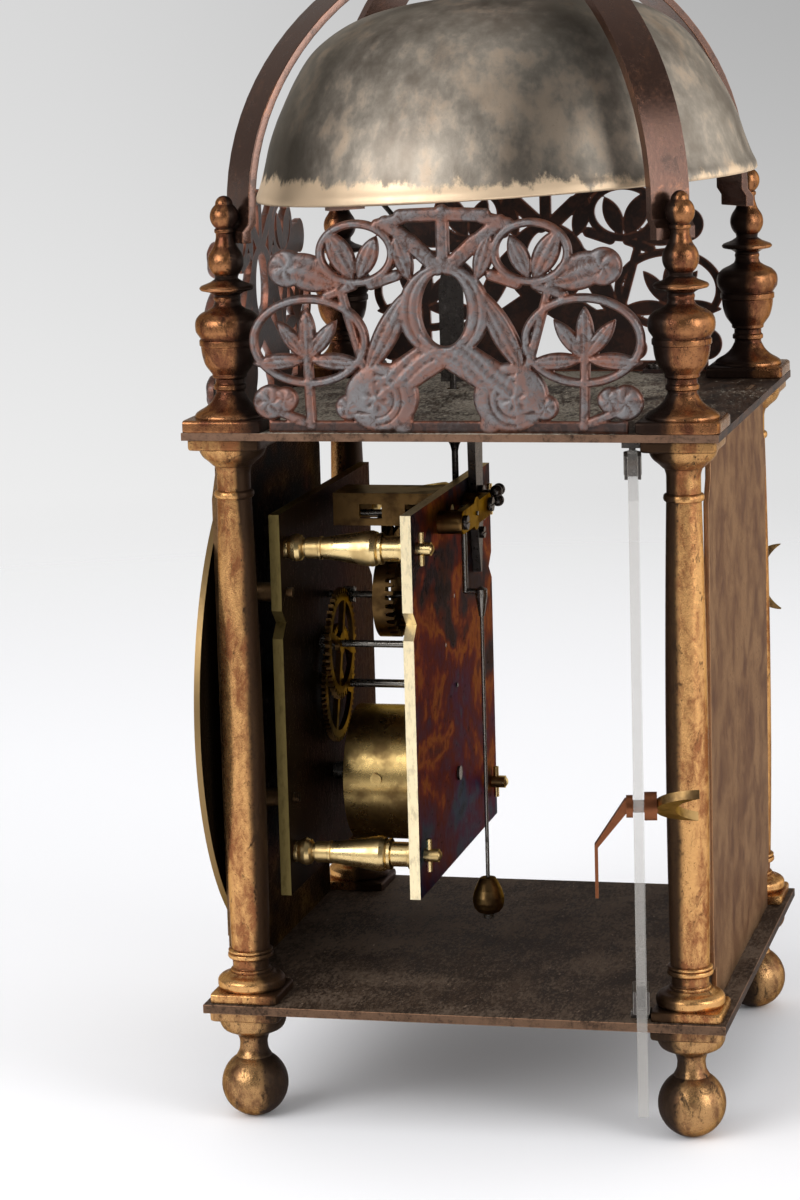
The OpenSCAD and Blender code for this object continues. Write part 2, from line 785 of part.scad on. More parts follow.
module minute_wheel() {
    color(brass) translate([-motion_distance, 0, dial_z]) difference() {
        union() {
            slab(front_outer - 2.9, front_outer - 1.5)
                crossed_wheel(minute_teeth, motion_module, 180 / minute_teeth, 1.4, 2.4, 1);
            slab(front_outer - 7.4, front_outer - 2) leaves(hour_leaves, motion_module, 0);
        }
        rod_y(0, 0, 1.06, front_outer - 8, front_outer);
    }
}

module case_back() {
    color(aged) slab(case_inner, case_inner + dial_thick) panel_outline(base_thick, top_thick);
}

// Places a door that is drawn closed, along -Y from its hinge axis. Side 1 is the mirror image.
module door(side) {
    turn = side == 0 ? right_door_open : left_door_open;
    mirror([side, 0, 0]) translate([hinge_x, hinge_y, 0]) rotate([0, 0, turn]) children();
}

function latch_height(side) = latch_z + side * left_latch_lift;

module door_glass(side) {
    color(clear) difference() {
        translate([-glass_thick / 2, -door_width, glass_low])
            cube([glass_thick, door_width - 3, glass_high - glass_low]);
        translate([-glass_thick, -latch_reach, latch_height(side)]) rotate([0, 90, 0])
            cylinder(h = 2 * glass_thick, r = spindle_r + fit);
    }
}

module door_clips() {
    heights = [glass_low + clip_inset, glass_high - clip_inset - clip_h];
    color(steel) for (z = heights) translate([0, 0, z]) difference() {
        union() {
            cylinder(h = clip_h, r = 2.3);
            translate([-glass_thick / 2 - 0.9, -9, 0]) cube([glass_thick + 1.8, 9, clip_h]);
        }
        translate([-glass_thick / 2, -10, -1]) cube([glass_thick, 7, clip_h + 2]);
        translate([0, 0, -1]) cylinder(h = clip_h + 2, r = hinge_pin_r + fit);
    }
}

module hinge_lugs() {
    reach = clip_inset + clip_h - 1;
    color(steel) for (side = [0, 1]) mirror([side, 0, 0]) translate([hinge_x, hinge_y, 0]) {
        translate([-2.4, -2.4, floor_z]) cube([4.8, 4.8, 2]);
        translate([0, 0, floor_z]) cylinder(h = 2.2 + reach, r = hinge_pin_r);
        translate([-2.4, -2.4, roof_z - 2]) cube([4.8, 4.8, 2]);
        translate([0, 0, glass_high - reach]) cylinder(h = roof_z - glass_high + reach, r = hinge_pin_r);
    }
}

// Spindle through the glass with a hooked strip inside that swings behind the front column.
module latch(side, turn) {
    skin = glass_thick / 2;
    translate([0, -latch_reach, latch_height(side)]) rotate([turn, 0, 0]) {
        color(copper) {
            rotate([0, 90, 0]) translate([0, 0, -skin - 2]) cylinder(h = 2 * skin + 5.4, r = spindle_r);
            translate([skin + 0.1, 0, 0]) rotate([0, 90, 0]) cylinder(h = 3, r = 3.4);
            translate([-skin - 1.7, 0, 0]) rotate([0, 90, 0]) cylinder(h = 1.6, r = 2.7);
            translate([0, 1.5, 0]) rotate([90, 0, 0]) linear_extrude(3)
                polygon([[-skin - 1, 1.8], [-skin - 2, 1.8], [-latch_depth - 0.8, -9.2],
                    [-latch_depth - 0.8, -22], [-latch_depth, -22], [-latch_depth, -9.7], [-skin - 1, -0.6]]);
        }
    }
}

// Crescent thumb-turn standing out from the end of the spindle.
module crescent(side, turn) {
    back = glass_thick / 2 + 3.1;
    translate([0, -latch_reach, latch_height(side)]) rotate([turn + crescent_turn, 0, 0])
        color(brass) difference() {
            translate([0, 1.1, 0]) rotate([90, 0, 0]) linear_extrude(2.2) difference() {
                union() {
                    translate([back + crescent_r - 0.4, 0]) circle(crescent_r);
                    translate([back, -2.2]) square([3, 4.4]);
                }
                translate([back + crescent_r + 6.4, 0]) circle(12.34);
            }
            translate([back - 5, 0, 0]) rotate([0, 90, 0]) cylinder(h = 5.35, r = spindle_r);
        }
}

// Movement plate: a notch in each side edge and holes for pivots and pillars.
module movement_plate(y_front, y_back) {
    difference() {
        slab(y_front, y_back) difference() {
            translate([-movement_half, movement_bottom]) square([2 * movement_half, movement_height]);
            for (side = [-1, 1]) translate([side * movement_half, movement_top - 30])
                rotate(45) square(5.4, center = true);
        }
        for (x = [-pillar_x, pillar_x]) for (z = [pillar_low, pillar_high])
            rod_y(x, z, 1.8, y_front - 1, y_back + 1);
        rod_y(0, barrel_z, barrel_pivot + fit, y_front - 1, y_back + 1);
        rod_y(third_x, third_z, pivot_r + fit, y_front - 1, y_back + 1);
        rod_y(0, contrate_z, pivot_r + fit, y_front - 1, y_back + 1);
    }
}

module movement_front() {
    color(brass) difference() {
        movement_plate(front_outer, front_inner);
        rod_y(0, dial_z, arbor_r + fit, front_outer - 1, front_inner + 1);
        for (x = [-post_x, post_x]) for (z = [movement_bottom + 26, movement_top - 22])
            rod_y(x, z, 1.3 + fit, front_outer - 1, front_inner + 1);
        rod_y(-motion_distance, dial_z, 1, front_outer - 1, front_inner + 1);
        rod_y(click_x, click_z, 1.2, front_outer - 1, front_inner + 1);
    }
}

module movement_back() {
    color(brass) difference() {
        movement_plate(back_inner, back_outer);
        rod_y(0, dial_z, pivot_r + fit, back_inner - 1, back_outer + 1);
        rod_y(0, verge_z, 2.4, back_inner - 1, back_outer + 1);
        for (x = [-16.5, 16.5]) rod_y(x, verge_z, 1.1 + fit, back_inner - 1, back_outer + 1);
        rod_y(hammer_x, verge_z + 1.6, 1 + fit, back_inner - 1, back_outer + 1);
        for (z = [verge_z - 4.4, verge_z - 9.6])
            rod_y(hammer_x, z, 0.8 + fit, back_inner - 1, back_outer + 1);
    }
}

// Vase-turned pillars, riveted in the front plate and pinned behind the back plate.
module movement_pillars() {
    gap = back_inner - front_inner;
    color(brass) {
        for (x = [-pillar_x, pillar_x]) for (z = [pillar_low, pillar_high]) difference() {
            translate([x, front_inner, z]) rotate([-90, 0, 0]) {
                spun([[0, 0], [3, 0], [3, 1], [3.6, 2.2], [3.8, 3.2], [3.4, 4.4], [2.3, 5.2], [2.4, 5.8],
                    [2.9, 6], [2.9, 9.4], [3.2, 9.6], [3.2, 10.2], [2.9, 10.4], [3.4, 14], [4.1, 18.5],
                    [4.8, 23], [4.9, 24.2], [4.5, 25.4], [4, 25.8], [4.3, 26.2], [4.3, 27], [3.4, 27.3],
                    [3.4, gap - 1.4], [4, gap - 1.2], [4, gap], [0, gap]]);
                translate([0, 0, -movement_thick]) cylinder(h = movement_thick + 1, r = 1.8);
                translate([0, 0, gap - 1]) cylinder(h = movement_thick + 5, r = 1.8);
                translate([0, 0, gap + movement_thick + 3]) sphere(1.8);
            }
        }
        for (x = [-pillar_x, pillar_x]) for (z = [pillar_low, pillar_high])
            translate([x, back_outer + 1.2, z - 4.5]) cylinder(h = 9, r = 0.8);
        rod_y(-motion_distance, dial_z, 1, front_outer - 8.4, front_inner);
        rod_y(click_x, click_z, 1.2, front_outer - 2.6, front_inner);
    }
}

// An upright rod.
module rod_z(x, y, r, low, high) {
    translate([x, y, low]) cylinder(h = high - low, r = r);
}

module barrel() {
    color(brass) difference() {
        union() {
            rod_y(0, barrel_z, barrel_r, barrel_front, barrel_front + 19.5);
            rod_y(0, barrel_z, barrel_r - 4, barrel_front - 0.6, barrel_front + 1);
            rod_y(0, barrel_z, 5, barrel_front + 19, back_inner - 0.5);
            slab(barrel_front + 19.5, barrel_front + 21.7) translate([0, barrel_z])
                wheel_teeth(great_teeth, great_module, 90 + 180 / great_teeth);
            translate([barrel_r - 1, barrel_front + 9.5, barrel_z + 2])
                rotate([0, 90, 0]) cylinder(h = 1.6, r = 1.6);
        }
        rod_y(0, barrel_z, arbor_barrel + fit, barrel_front - 2, back_inner);
    }
}

module barrel_arbor() {
    color(steel) {
        rod_y(0, barrel_z, arbor_barrel, front_inner + 0.4, back_inner - 0.2);
        rod_y(0, barrel_z, barrel_pivot, front_outer - 3.4, back_outer + 0.6);
        rod_y(0, barrel_z, 2.7, front_outer - 3.4, front_outer - 2.2);
        slab(ring_back + 0.4, ring_back + 4.6) translate([0, barrel_z]) square(3.2, center = true);
        rod_y(0, barrel_z, 2, ring_back + 4.4, front_outer - 3);
    }
}

// Ratchet whose steep flanks face the click.
function ratchet_point(i, reach, lead) = let (a = click_turn + 360 / ratchet_teeth * (i - lead))
    [reach * cos(a), reach * sin(a)];

module ratchet_wheel() {
    color(brass) difference() {
        slab(front_outer - 2.2, front_outer - 0.4) translate([0, barrel_z])
            polygon([for (i = [0:ratchet_teeth - 1]) for (p = [[7.6, 0.93], [9, 0]])
                ratchet_point(i, p[0], p[1])]);
        rod_y(0, barrel_z, barrel_pivot, front_outer - 3, front_outer);
    }
}

module click() {
    tip = [7.95 * cos(click_turn + 2), 7.95 * sin(click_turn + 2)];
    nose = [9.5 * cos(click_turn + 2.5), 9.5 * sin(click_turn + 2.5)];
    belly = [9.7 * cos(click_turn + 17), 9.7 * sin(click_turn + 17)];
    post = [click_x, click_z - barrel_z];
    out = [cos(click_turn + 50), sin(click_turn + 50)];
    color(steel) difference() {
        slab(front_outer - 2.1, front_outer - 0.5) translate([0, barrel_z]) {
            polygon([tip, nose, post + 2.2 * out, post - 2.2 * out, belly]);
            translate(post) circle(2.8);
        }
        rod_y(click_x, click_z, 1.2 + fit, front_outer - 3, front_outer + 1);
    }
}

module centre_arbor() {
    color(steel) {
        rod_y(0, dial_z, arbor_r, minute_hand_y - 3.2, back_inner - 0.1);
        rod_y(0, dial_z, pivot_r, back_inner - 1, back_outer + 0.4);
        rod_y(0, dial_z, 2.4, front_inner + 0.3, front_inner + 0.9);
        slab(barrel_front + 18.6, barrel_front + 23.4) translate([0, dial_z])
            leaves(pinion_leaves, great_module, 270);
    }
}

module centre_wheel() {
    mesh = atan2(third_rise, third_x) + 180 / centre_teeth;
    color(brass) slab(front_inner + 1, front_inner + 2.4) translate([0, dial_z])
        crossed_wheel(centre_teeth, centre_module, mesh, 2, 4, arbor_r);
}

module third_arbor() {
    color(steel) {
        rod_y(third_x, third_z, 1, front_inner + 0.1, back_inner - 0.1);
        rod_y(third_x, third_z, pivot_r, front_outer, back_outer);
        slab(front_inner + 0.4, front_inner + 3.2) translate([third_x, third_z])
            leaves(pinion_leaves, centre_module, atan2(third_rise, third_x) + 180);
    }
}

module third_wheel() {
    color(brass) slab(third_y, third_y + 1.4) translate([third_x, third_z])
        crossed_wheel(third_teeth, third_module, third_turn + 180 / third_teeth, 2, 3, 1);
}

module contrate_arbor() {
    color(steel) {
        rod_y(0, contrate_z, 1, front_inner + 0.1, back_inner - 0.1);
        rod_y(0, contrate_z, pivot_r, front_outer, back_outer);
        slab(third_y - 0.8, third_y + 2.2) translate([0, contrate_z])
            leaves(small_leaves, third_module, third_turn + 180);
    }
}

// Crossed disc with a rim whose teeth point backwards, at the crown wheel's pinion.
module contrate_wheel() {
    rim_back = verge_y - 1.55;
    color(brass) translate([0, 0, contrate_z]) difference() {
        union() {
            slab(rim_back - 5.9, rim_back - 4.7) difference() {
                circle(contrate_r + 0.6);
                difference() {
                    circle(contrate_r - 1);
                    circle(3);
                    for (a = [0, 90]) rotate(a + 45) square([30, 1.8], center = true);
                }
            }
            slab(rim_back - 5.9, rim_back) difference() {
                circle(contrate_r + 0.6);
                circle(contrate_r - 1);
            }
        }
        rod_y(0, 0, 1, rim_back - 7, rim_back);
        for (i = [0:contrate_teeth - 1]) rotate([0, 360 * i / contrate_teeth, 0])
            translate([0, rim_back, contrate_r - 2]) linear_extrude(4)
                polygon([[-0.9, 1], [0.9, 1], [0.72, -1], [0.5, -2.3], [-0.5, -2.3], [-0.72, -1]]);
    }
}

// The verge's escape wheel: raked teeth on a crown, on an upright arbor with its pinion.
module crown_wheel() {
    color(brass) translate([0, verge_y, 0]) {
        difference() {
            translate([0, 0, crown_top - 4.6]) spun([[0, 0], [crown_r, 0], [crown_r, 4.6], [crown_r - 1, 4.6],
                [crown_r - 1, 1], [0, 1]]);
            for (i = [0:crown_teeth - 1]) rotate(360 * i / crown_teeth)
                translate([crown_r - 2, 0, crown_top]) rotate([90, 0, 90]) linear_extrude(3)
                    polygon([[-0.25, 0.5], [1.62, 0.5], [1.62, 0], [-0.25, -2.6]]);
        }
        translate([0, 0, contrate_z + 5.5]) cylinder(h = crown_top - contrate_z - 5.5, r = 0.9);
        translate([0, 0, contrate_z + 3.6]) cylinder(h = 3, r = 0.6);
        translate([0, 0, crown_top - 1]) cylinder(h = 2.4, r = 0.6);
        translate([0, 0, contrate_z + 9.6]) linear_extrude(3) leaves(small_leaves, crown_module, 270);
    }
}

module potences() {
    floor_of_bar = crown_top + 0.6;
    color(brass) {
        difference() {
            translate([-8, channel_front, crown_top + 0.6])
                cube([16, back_inner - channel_front, movement_top - 0.4 - floor_of_bar]);
            translate([-6.6, channel_front + 1.5, crown_top])
                cube([13.2, back_inner - channel_front, movement_top - 1.8 - crown_top]);
            for (y = [channel_front + 7.5, channel_front + 20.5])
                translate([-10, y, floor_of_bar + 2]) cube([20, 6.4, 4]);
            rod_y(0, verge_z, pivot_r + fit, channel_front - 1, channel_front + 3);
        }
        difference() {
            translate([-7, verge_y - 1.8, floor_of_bar]) cube([14, 3.6, 1.3]);
            translate([0, verge_y, floor_of_bar - 1]) cylinder(h = 4, r = 0.6 + fit);
        }
        difference() {
            translate([-2.5, verge_y - 2.4, contrate_z + 2.6]) cube([5, back_inner - verge_y + 2.4, 2.8]);
            translate([0, verge_y, contrate_z + 2]) cylinder(h = 5, r = 0.6 + fit);
        }
        translate([-2.5, back_inner - 1.6, contrate_z + 2.6]) cube([5, 1.6, 8]);
        difference() {
            translate([hammer_x - 3, back_inner - 4, hammer_low - 3]) cube([6, 4, 3]);
            rod_z(hammer_x, hammer_y, 0.6 + fit, hammer_low - 2.4, hammer_low + 1);
        }
    }
}

// Bridge behind the back plate that holds the verge's rear pivot.
module back_cock() {
    color(brass) difference() {
        union() {
            slab(cock_back - 1.8, cock_back) translate([0, verge_z]) {
                limb([-16.5, 0], [16.5, 0], 6.4);
                circle(4.6);
            }
            for (x = [-16.5, 16.5]) rod_y(x, verge_z, 3.2, back_outer, cock_back - 1);
        }
        rod_y(0, verge_z, pivot_r + fit, back_outer, cock_back + 1);
        for (x = [-16.5, 16.5]) rod_y(x, verge_z, 1.1 + fit, back_outer - 1, cock_back + 1);
    }
}

// Verge arbor with its two pallets, set wide apart over opposite sides of the crown wheel.
module verge() {
    color(steel) {
        rod_y(0, verge_z, 0.9, channel_front + 1.6, cock_back - 1.9);
        rod_y(0, verge_z, pivot_r, channel_front + 0.2, cock_back + 0.4);
        rod_y(0, verge_z, 2.2, back_outer + 2.2, back_outer + 4.2);
        for (side = [-1, 1]) translate([0, verge_y + side * (crown_r - 0.5), verge_z])
            rotate([0, side * 47, 0]) translate([-0.4, -1.3, -3.4]) cube([0.8, 2.6, 3.4]);
    }
}

// Bent crank below the verge, a ferrule, and the rod of the bob pendulum.
module pendulum_rod() {
    crank_y = back_outer + 3.2;
    color(steel) {
        wire([0, crank_y, verge_z - 2.7], [0, crank_y, verge_z - 22], 0.8);
        rod_y(0, verge_z - 22, 0.75, crank_y, pendulum_y);
        translate([0, pendulum_y, 0]) {
            spun([[0, verge_z - 29], [0.8, verge_z - 29], [1.7, verge_z - 23.4], [1.7, verge_z - 21.4],
                [0, verge_z - 20.6]]);
            translate([0, 0, bob_z - 4]) cylinder(h = verge_z - 24 - bob_z, r = 0.55);
            translate([0, 0, bob_z - 6]) cylinder(h = 1.4, r = 1.5);
            translate([0, 0, bob_z - 5]) cylinder(h = 2, r = 0.55);
        }
    }
}

module bob() {
    color(brass) translate([0, pendulum_y, bob_z]) difference() {
        spun([[0, -4.6], [1.8, -4.6], [3.2, -4], [4.1, -2.8], [4.45, -1.2], [4.4, 0.4], [3.9, 2.4],
            [3, 4.4], [2.2, 5.8], [0, 5.8]]);
        translate([0, 0, -6]) cylinder(h = 13, r = 0.55);
    }
}

// Steel bracket screwed behind the back plate; its foot steadies the hammer arbor.
module hammer_bracket() {
    color(steel) difference() {
        union() {
            slab(back_outer, back_outer + 2.3) polygon([[hammer_x - 5, bracket_z], [hammer_x + 5, bracket_z],
                [hammer_x + 4, movement_top - 12], [hammer_x + 0.6, movement_top - 28],
                [hammer_x - 0.6, movement_top - 28], [hammer_x - 4, movement_top - 12]]);
            translate([hammer_x - 5, back_inner - 5.4, bracket_z - 2.2]) cube([10, 10.6, 2.2]);
        }
        rod_z(hammer_x, hammer_y, 0.95 + fit, bracket_z - 3, bracket_z + 1);
        rod_y(hammer_x, verge_z + 1.6, 1 + fit, back_outer - 1, back_outer + 4);
        for (z = [verge_z - 4.4, verge_z - 9.6])
            rod_y(hammer_x, z, 0.8 + fit, back_outer - 1, back_outer + 4);
    }
}

// Upright arbor, flat blade above the top plate, and a bent wire that ends in the hammer head.
module hammer() {
    color(steel) translate([hammer_x, hammer_y, 0]) {
        translate([0, 0, hammer_low - 1.6]) cylinder(h = 3, r = 0.6);
        translate([0, 0, hammer_low + 0.2]) cylinder(h = top_z + 8 - hammer_low, r = 0.95);
        spun([[0, bracket_z - 6], [0.95, bracket_z - 6], [1.3, bracket_z - 4.4], [2.05, bracket_z - 2.9],
            [2.05, bracket_z - 2.3], [0, bracket_z - 2.3]]);
        translate([-0.6, 0, 0]) rotate([90, 0, 90]) linear_extrude(1.2) polygon([[-3.4, top_z + 2],
            [3.4, top_z + 2], [3.5, top_z + 28], [2.4, top_z + 34], [-2.4, top_z + 34], [-3.5, top_z + 28]]);
        rotate(hammer_rest) {
            wire([2, 0, top_z + 32.5], [hammer_arm, 0, top_z + 66], 0.7);
            translate([hammer_arm, 0, top_z + 68]) sphere(3.2);
        }
    }
}
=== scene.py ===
# %% [markdown]
# # A lantern clock, dressed for the camera
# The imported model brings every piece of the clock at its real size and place. It is exact but bare: even
# arrises, no wear, no tarnish. This lesson gives the pieces soft edges, relief and old metal surfaces,
# stands them on a pale studio floor and looks at them from the right-hand side, as a dealer would.
# The model has to be loaded first, because each later cell asks it where a piece is.

# %% Load the model
import json
import math
import bmesh
import bpy
import numpy as np
from mathutils import Matrix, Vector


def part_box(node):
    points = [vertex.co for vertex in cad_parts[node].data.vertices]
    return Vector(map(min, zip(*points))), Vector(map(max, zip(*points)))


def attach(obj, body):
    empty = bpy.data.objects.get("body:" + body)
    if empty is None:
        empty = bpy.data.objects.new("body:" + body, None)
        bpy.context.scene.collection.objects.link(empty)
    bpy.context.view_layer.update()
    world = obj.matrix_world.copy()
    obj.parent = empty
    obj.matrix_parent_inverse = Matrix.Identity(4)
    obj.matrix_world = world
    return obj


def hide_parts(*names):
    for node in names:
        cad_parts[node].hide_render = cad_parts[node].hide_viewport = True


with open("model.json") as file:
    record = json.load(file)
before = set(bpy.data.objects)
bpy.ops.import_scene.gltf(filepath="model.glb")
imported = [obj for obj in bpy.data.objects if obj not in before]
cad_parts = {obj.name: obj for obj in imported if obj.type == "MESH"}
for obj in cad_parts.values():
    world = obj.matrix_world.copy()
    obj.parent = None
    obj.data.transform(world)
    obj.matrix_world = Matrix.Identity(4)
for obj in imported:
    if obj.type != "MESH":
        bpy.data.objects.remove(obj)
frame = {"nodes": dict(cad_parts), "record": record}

MM = 0.001
body_of_node = {n: b for b, ns in frame["record"]["behaviour"]["bodies"].items() for n in ns}
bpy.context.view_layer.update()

# %% [markdown]
# ## Writing shader maths as plain expressions
# A tarnished surface is arithmetic: a stain is noise, cut at a level, times how deep the hollow is.
# Nodes could be linked by hand, but thirty links hide the idea. A small class that wraps a socket and
# answers to + - * / lets the idea stand on one line, and each operator adds its Math node. A second class
# fills and links the other nodes, for a material or for the world.

# %% The socket wrapper and the tree builder
class Value:
    """A number that varies over a surface. Arithmetic on it adds Math nodes to its tree."""

    def __init__(self, nodes, socket):
        self.nodes, self.socket = nodes, socket


def arithmetic(operation, swapped=False):
    """One arithmetic method of Value; swapped puts the other number first, as 1 - value needs."""
    def method(self, other):
        first, second = (other, self) if swapped else (self, other)
        return self.nodes.node("Math", {"operation": operation}, {0: first, 1: second})
    return method


math_nodes = {"add": "ADD", "sub": "SUBTRACT", "mul": "MULTIPLY", "truediv": "DIVIDE", "pow": "POWER"}
for sign, operation in math_nodes.items():
    setattr(Value, f"__{sign}__", arithmetic(operation))
    setattr(Value, f"__r{sign}__", arithmetic(operation, swapped=True))


class Nodes:
    """The node tree of a material or of the world, under construction."""

    def __init__(self, owner, output):
        owner.use_nodes = True
        self.tree = owner.node_tree
        self.tree.nodes.clear()
        self.output = self.tree.nodes.new(output)

    def node(self, kind, settings, inputs, out=0):
        """Adds a shader node, sets its settings, then fills or links its sockets, and wraps one output."""
        made = self.tree.nodes.new("ShaderNode" + kind)
        for key, value in settings.items():
            if key == "stops":
                while len(made.color_ramp.elements) < len(value):
                    made.color_ramp.elements.new(0.5)
                for stop, (at, colour) in zip(made.color_ramp.elements, value):
                    stop.position, stop.color = at, (*colour, 1)
            else:
                setattr(made, key, value)
        for key, value in inputs.items():
            if isinstance(value, Value):
                self.tree.links.new(value.socket, made.inputs[key])
            else:
                made.inputs[key].default_value = value
        return Value(self, made.outputs[out])

    def step(self, value, low, high):
        """0 below low, 1 above high, with a smooth rise between."""
        return self.node("MapRange", {"interpolation_type": "SMOOTHSTEP"},
                         {"Value": value, "From Min": low, "From Max": high}, "Result")

    def axis(self, vector, which):
        return self.node("SeparateXYZ", {}, {0: vector}, which)

    def size_of(self, value):
        return self.node("Math", {"operation": "ABSOLUTE"}, {0: value})

    def show(self, shader):
        self.tree.links.new(shader.socket, self.output.inputs["Surface"])


class Finish(Nodes):
    """One material under construction. Its colours are linear and its lengths are millimetres."""

    def __init__(self, name):
        self.material = bpy.data.materials.new(name)
        super().__init__(self.material, "ShaderNodeOutputMaterial")
        self.place = self.node("TexCoord", {}, {}, "Object")
        self.facing = self.node("TexCoord", {}, {}, "Normal")

    def at(self, *stretch):
        """Object coordinates in millimetres, multiplied by a stretch on each axis."""
        sizes = tuple(1000 * s for s in (stretch or (1, 1, 1)))
        return self.node("VectorMath", {"operation": "MULTIPLY"}, {0: self.place, 1: sizes})

    def noise(self, size, detail=4, roughness=0.55, stretch=(1, 1, 1), twist=0.0):
        """Cloudy value from 0 to 1 whose blotches are about size millimetres across."""
        return self.node("TexNoise", {}, {"Vector": self.at(*stretch), "Scale": 1 / size, "Detail": detail,
                                          "Roughness": roughness, "Distortion": twist}, "Fac")

    def across(self, which):
        """1 where the surface looks across the axis, 0 where it looks along it, either way."""
        return 1 - self.step(self.size_of(self.axis(self.facing, which)), 0.5, 0.8)

    def mix(self, factor, first, second):
        """Colour that runs from first to second as factor runs from 0 to 1."""
        first, second = [c if isinstance(c, Value) else (*c, 1) for c in (first, second)]
        return self.node("Mix", {"data_type": "RGBA"}, {0: factor, 6: first, 7: second}, 2)

    def attribute(self, name):
        return self.node("Attribute", {"attribute_name": name}, {}, "Fac")

    def bump(self, height, depth):
        """Normal of a surface whose height varies by depth millimetres."""
        return self.node("Bump", {}, {"Height": height, "Distance": depth * MM, "Strength": 1.0}, "Normal")

    def surface(self, **inputs):
        """Feeds the Principled shader; spaces in socket names are written as underscores."""
        self.show(self.node("BsdfPrincipled", {}, {k.replace("_", " "): v for k, v in inputs.items()}))
        return self.material


def shaded(colour, share):
    """The colour, darker or lighter by a share."""
    return tuple(share * c for c in colour)


print("a Value knows", len(math_nodes), "operations")

# %% [markdown]
# ## Old brass on the columns and feet
# Brass left alone goes golden brown. Hands and dusters keep the proud mouldings bright, while wax and dirt blacken the
# hollows. A picture of rust would show its tiling; here the shape itself says where it is proud, through a number
# stored on the vertices, and three sizes of noise break the edges of the stains. A second number on the vertices paints
# shade on the side of each corner piece that faces into the case.

# %% Aged brass
def old_brass(name, gold, red, dark, gloss, stain, smoke=0.0):
    """Golden where it is rubbed, red brown where it is left alone, black in the hollows, and darker on the side that
    faces into the case, which is painted shade. stain is the share of the surface that is blotched, smoke how much
    darker it grows from 150 to 200 mm above the floor."""
    f = Finish(name)
    proud = f.attribute("proud")
    clouds = f.noise(8, 5, 0.62, (1, 1, 0.35), 0.3)
    grime = f.noise(2.4, 6, 0.75, (1, 1, 0.6), 0.5)
    specks = f.noise(0.75, 4, 0.75)
    rubbed = f.step(clouds * 0.55 + grime * 0.45 + proud * 0.12, 0.40, 0.58)
    base = f.mix(rubbed, red, gold)
    pale = f.step(grime * 0.5 + specks * 0.35 + proud * 0.14, 0.50, 0.66)
    base = f.mix(pale * 0.5, base, tuple(1.3 * c + 0.04 for c in gold))
    hollow = f.step(proud * -0.55 + grime * 0.6 + specks * 0.25, 0.56, 0.92)
    blotch = f.step(f.noise(3.4, 6, 0.75, (1, 1, 0.55), 0.7), 0.68 - stain * 0.22, 0.78 - stain * 0.14)
    pits = f.step(specks, 0.56, 0.68) * 0.6
    # Painted shade: away darkens the side that faces into the case, read from the vertex number inner.
    away = f.step(f.attribute("inner") + (clouds - 0.5) * 0.6, -0.15, 0.40)
    smoked = f.step(f.axis(f.at(), "Z") + (clouds - 0.5) * 60, 150, 200) * smoke
    # Real dirt, stains and pits, plus the painted shade on the inward side.
    dirt_and_painted_shade = f.step(hollow + blotch * 0.8 + pits + away + smoked, 0.0, 1.1)
    return f.surface(Base_Color=f.mix(dirt_and_painted_shade, base, dark), Metallic=0.86 - dirt_and_painted_shade * 0.3,
                     Specular_Tint=(0.45, 0.36, 0.26, 1), Specular_IOR_Level=0.3,
                     Roughness=gloss + dirt_and_painted_shade * 0.18 + (specks - 0.5) * 0.22 - rubbed * 0.05,
                     Normal=f.bump(grime * 0.6 + specks * 0.4 - dirt_and_painted_shade * 0.25, 0.16))


aged_brass = old_brass("aged_brass", (0.66, 0.355, 0.135), (0.27, 0.105, 0.043), (0.03, 0.016, 0.009), 0.28, 0.58, 0.55)
red_brass = old_brass("red_brass", (0.33, 0.145, 0.06), (0.125, 0.044, 0.023), (0.016, 0.009, 0.007), 0.20, 0.62, 0.14)
foot_brass = old_brass("foot_brass", (0.46, 0.26, 0.11), (0.18, 0.085, 0.042), (0.025, 0.015, 0.01), 0.31, 0.78)
print("brass finishes:", aged_brass.name, red_brass.name, foot_brass.name)

# %% [markdown]
# ## Sheet brass, inside and out
# The base and top plates and the back panel were never lacquered. They are nearly black where dust lies,
# and where cloths have rubbed them a grain shows: brown streaks that run upright on the back panel.
# One recipe serves all, with the grain's direction, the amount of dust and the wear on the sides facing left and right
# as its numbers. On those sides the worn colour is partly real wear and partly a painted highlight. Separate materials
# would say the same things four times.

# %% Plates
def dusty_plate(name, light, dark, dust, dust_amount, stretch, gloss, metal, edge=(0.30, 0.17, 0.09), swept=0.0):
    """Plate between light and dark along a stretched grain, with dust on whatever faces up and worn edges; on the faces
    that look left and right the worn colour is also a painted highlight. swept is how much less dust lies near the
    back."""
    f = Finish(name)
    streaks = f.noise(5, 6, 0.66, stretch, 0.4)
    clouds = f.noise(22, 5, 0.6)
    grit = f.noise(0.8, 3, 0.8, (0.4, 1, 1))
    base = f.mix(f.step(streaks * 0.6 + clouds * 0.4, 0.36, 0.64), dark, light)
    pits = f.step(grit * 0.6 + streaks * 0.4, 0.56, 0.66)
    base = f.mix(pits * 0.55, base, shaded(dark, 0.35))
    up = f.step(f.axis(f.facing, "Z"), 0.6, 0.9)
    lying = grit * 0.62 + clouds * 0.38 - f.step(f.axis(f.at(), "Y"), 25, 60) * swept
    settled = up * f.step(lying, 0.58 - dust_amount, 0.74 - dust_amount)
    crumbs = up * f.step(f.noise(1.1, 2, 0.6, (0.4, 1, 1)), 0.70, 0.74)
    # Painted highlight: side gives the faces that look left and right the worn edge colour.
    side = f.step(f.size_of(f.axis(f.facing, "X")), 0.5, 0.9) * 0.45
    worn = (f.attribute("proud") + side) * f.step(streaks * 0.5 + grit * 0.5, 0.36, 0.54)
    dusted = f.mix(crumbs * 0.7, f.mix(settled * (0.6 + grit * 0.5), base, dust), shaded(dust, 2.2))
    colour = f.mix(worn * 0.8, dusted, edge)
    return f.surface(Base_Color=colour, Metallic=metal - settled * metal,
                     Specular_Tint=(0.25, 0.19, 0.13, 1), Specular_IOR_Level=0.15,
                     Roughness=gloss + settled * 0.35 + (streaks - 0.5) * 0.2 - worn * 0.1,
                     Normal=f.bump(grit * 0.6 + streaks * 0.4, 0.16))


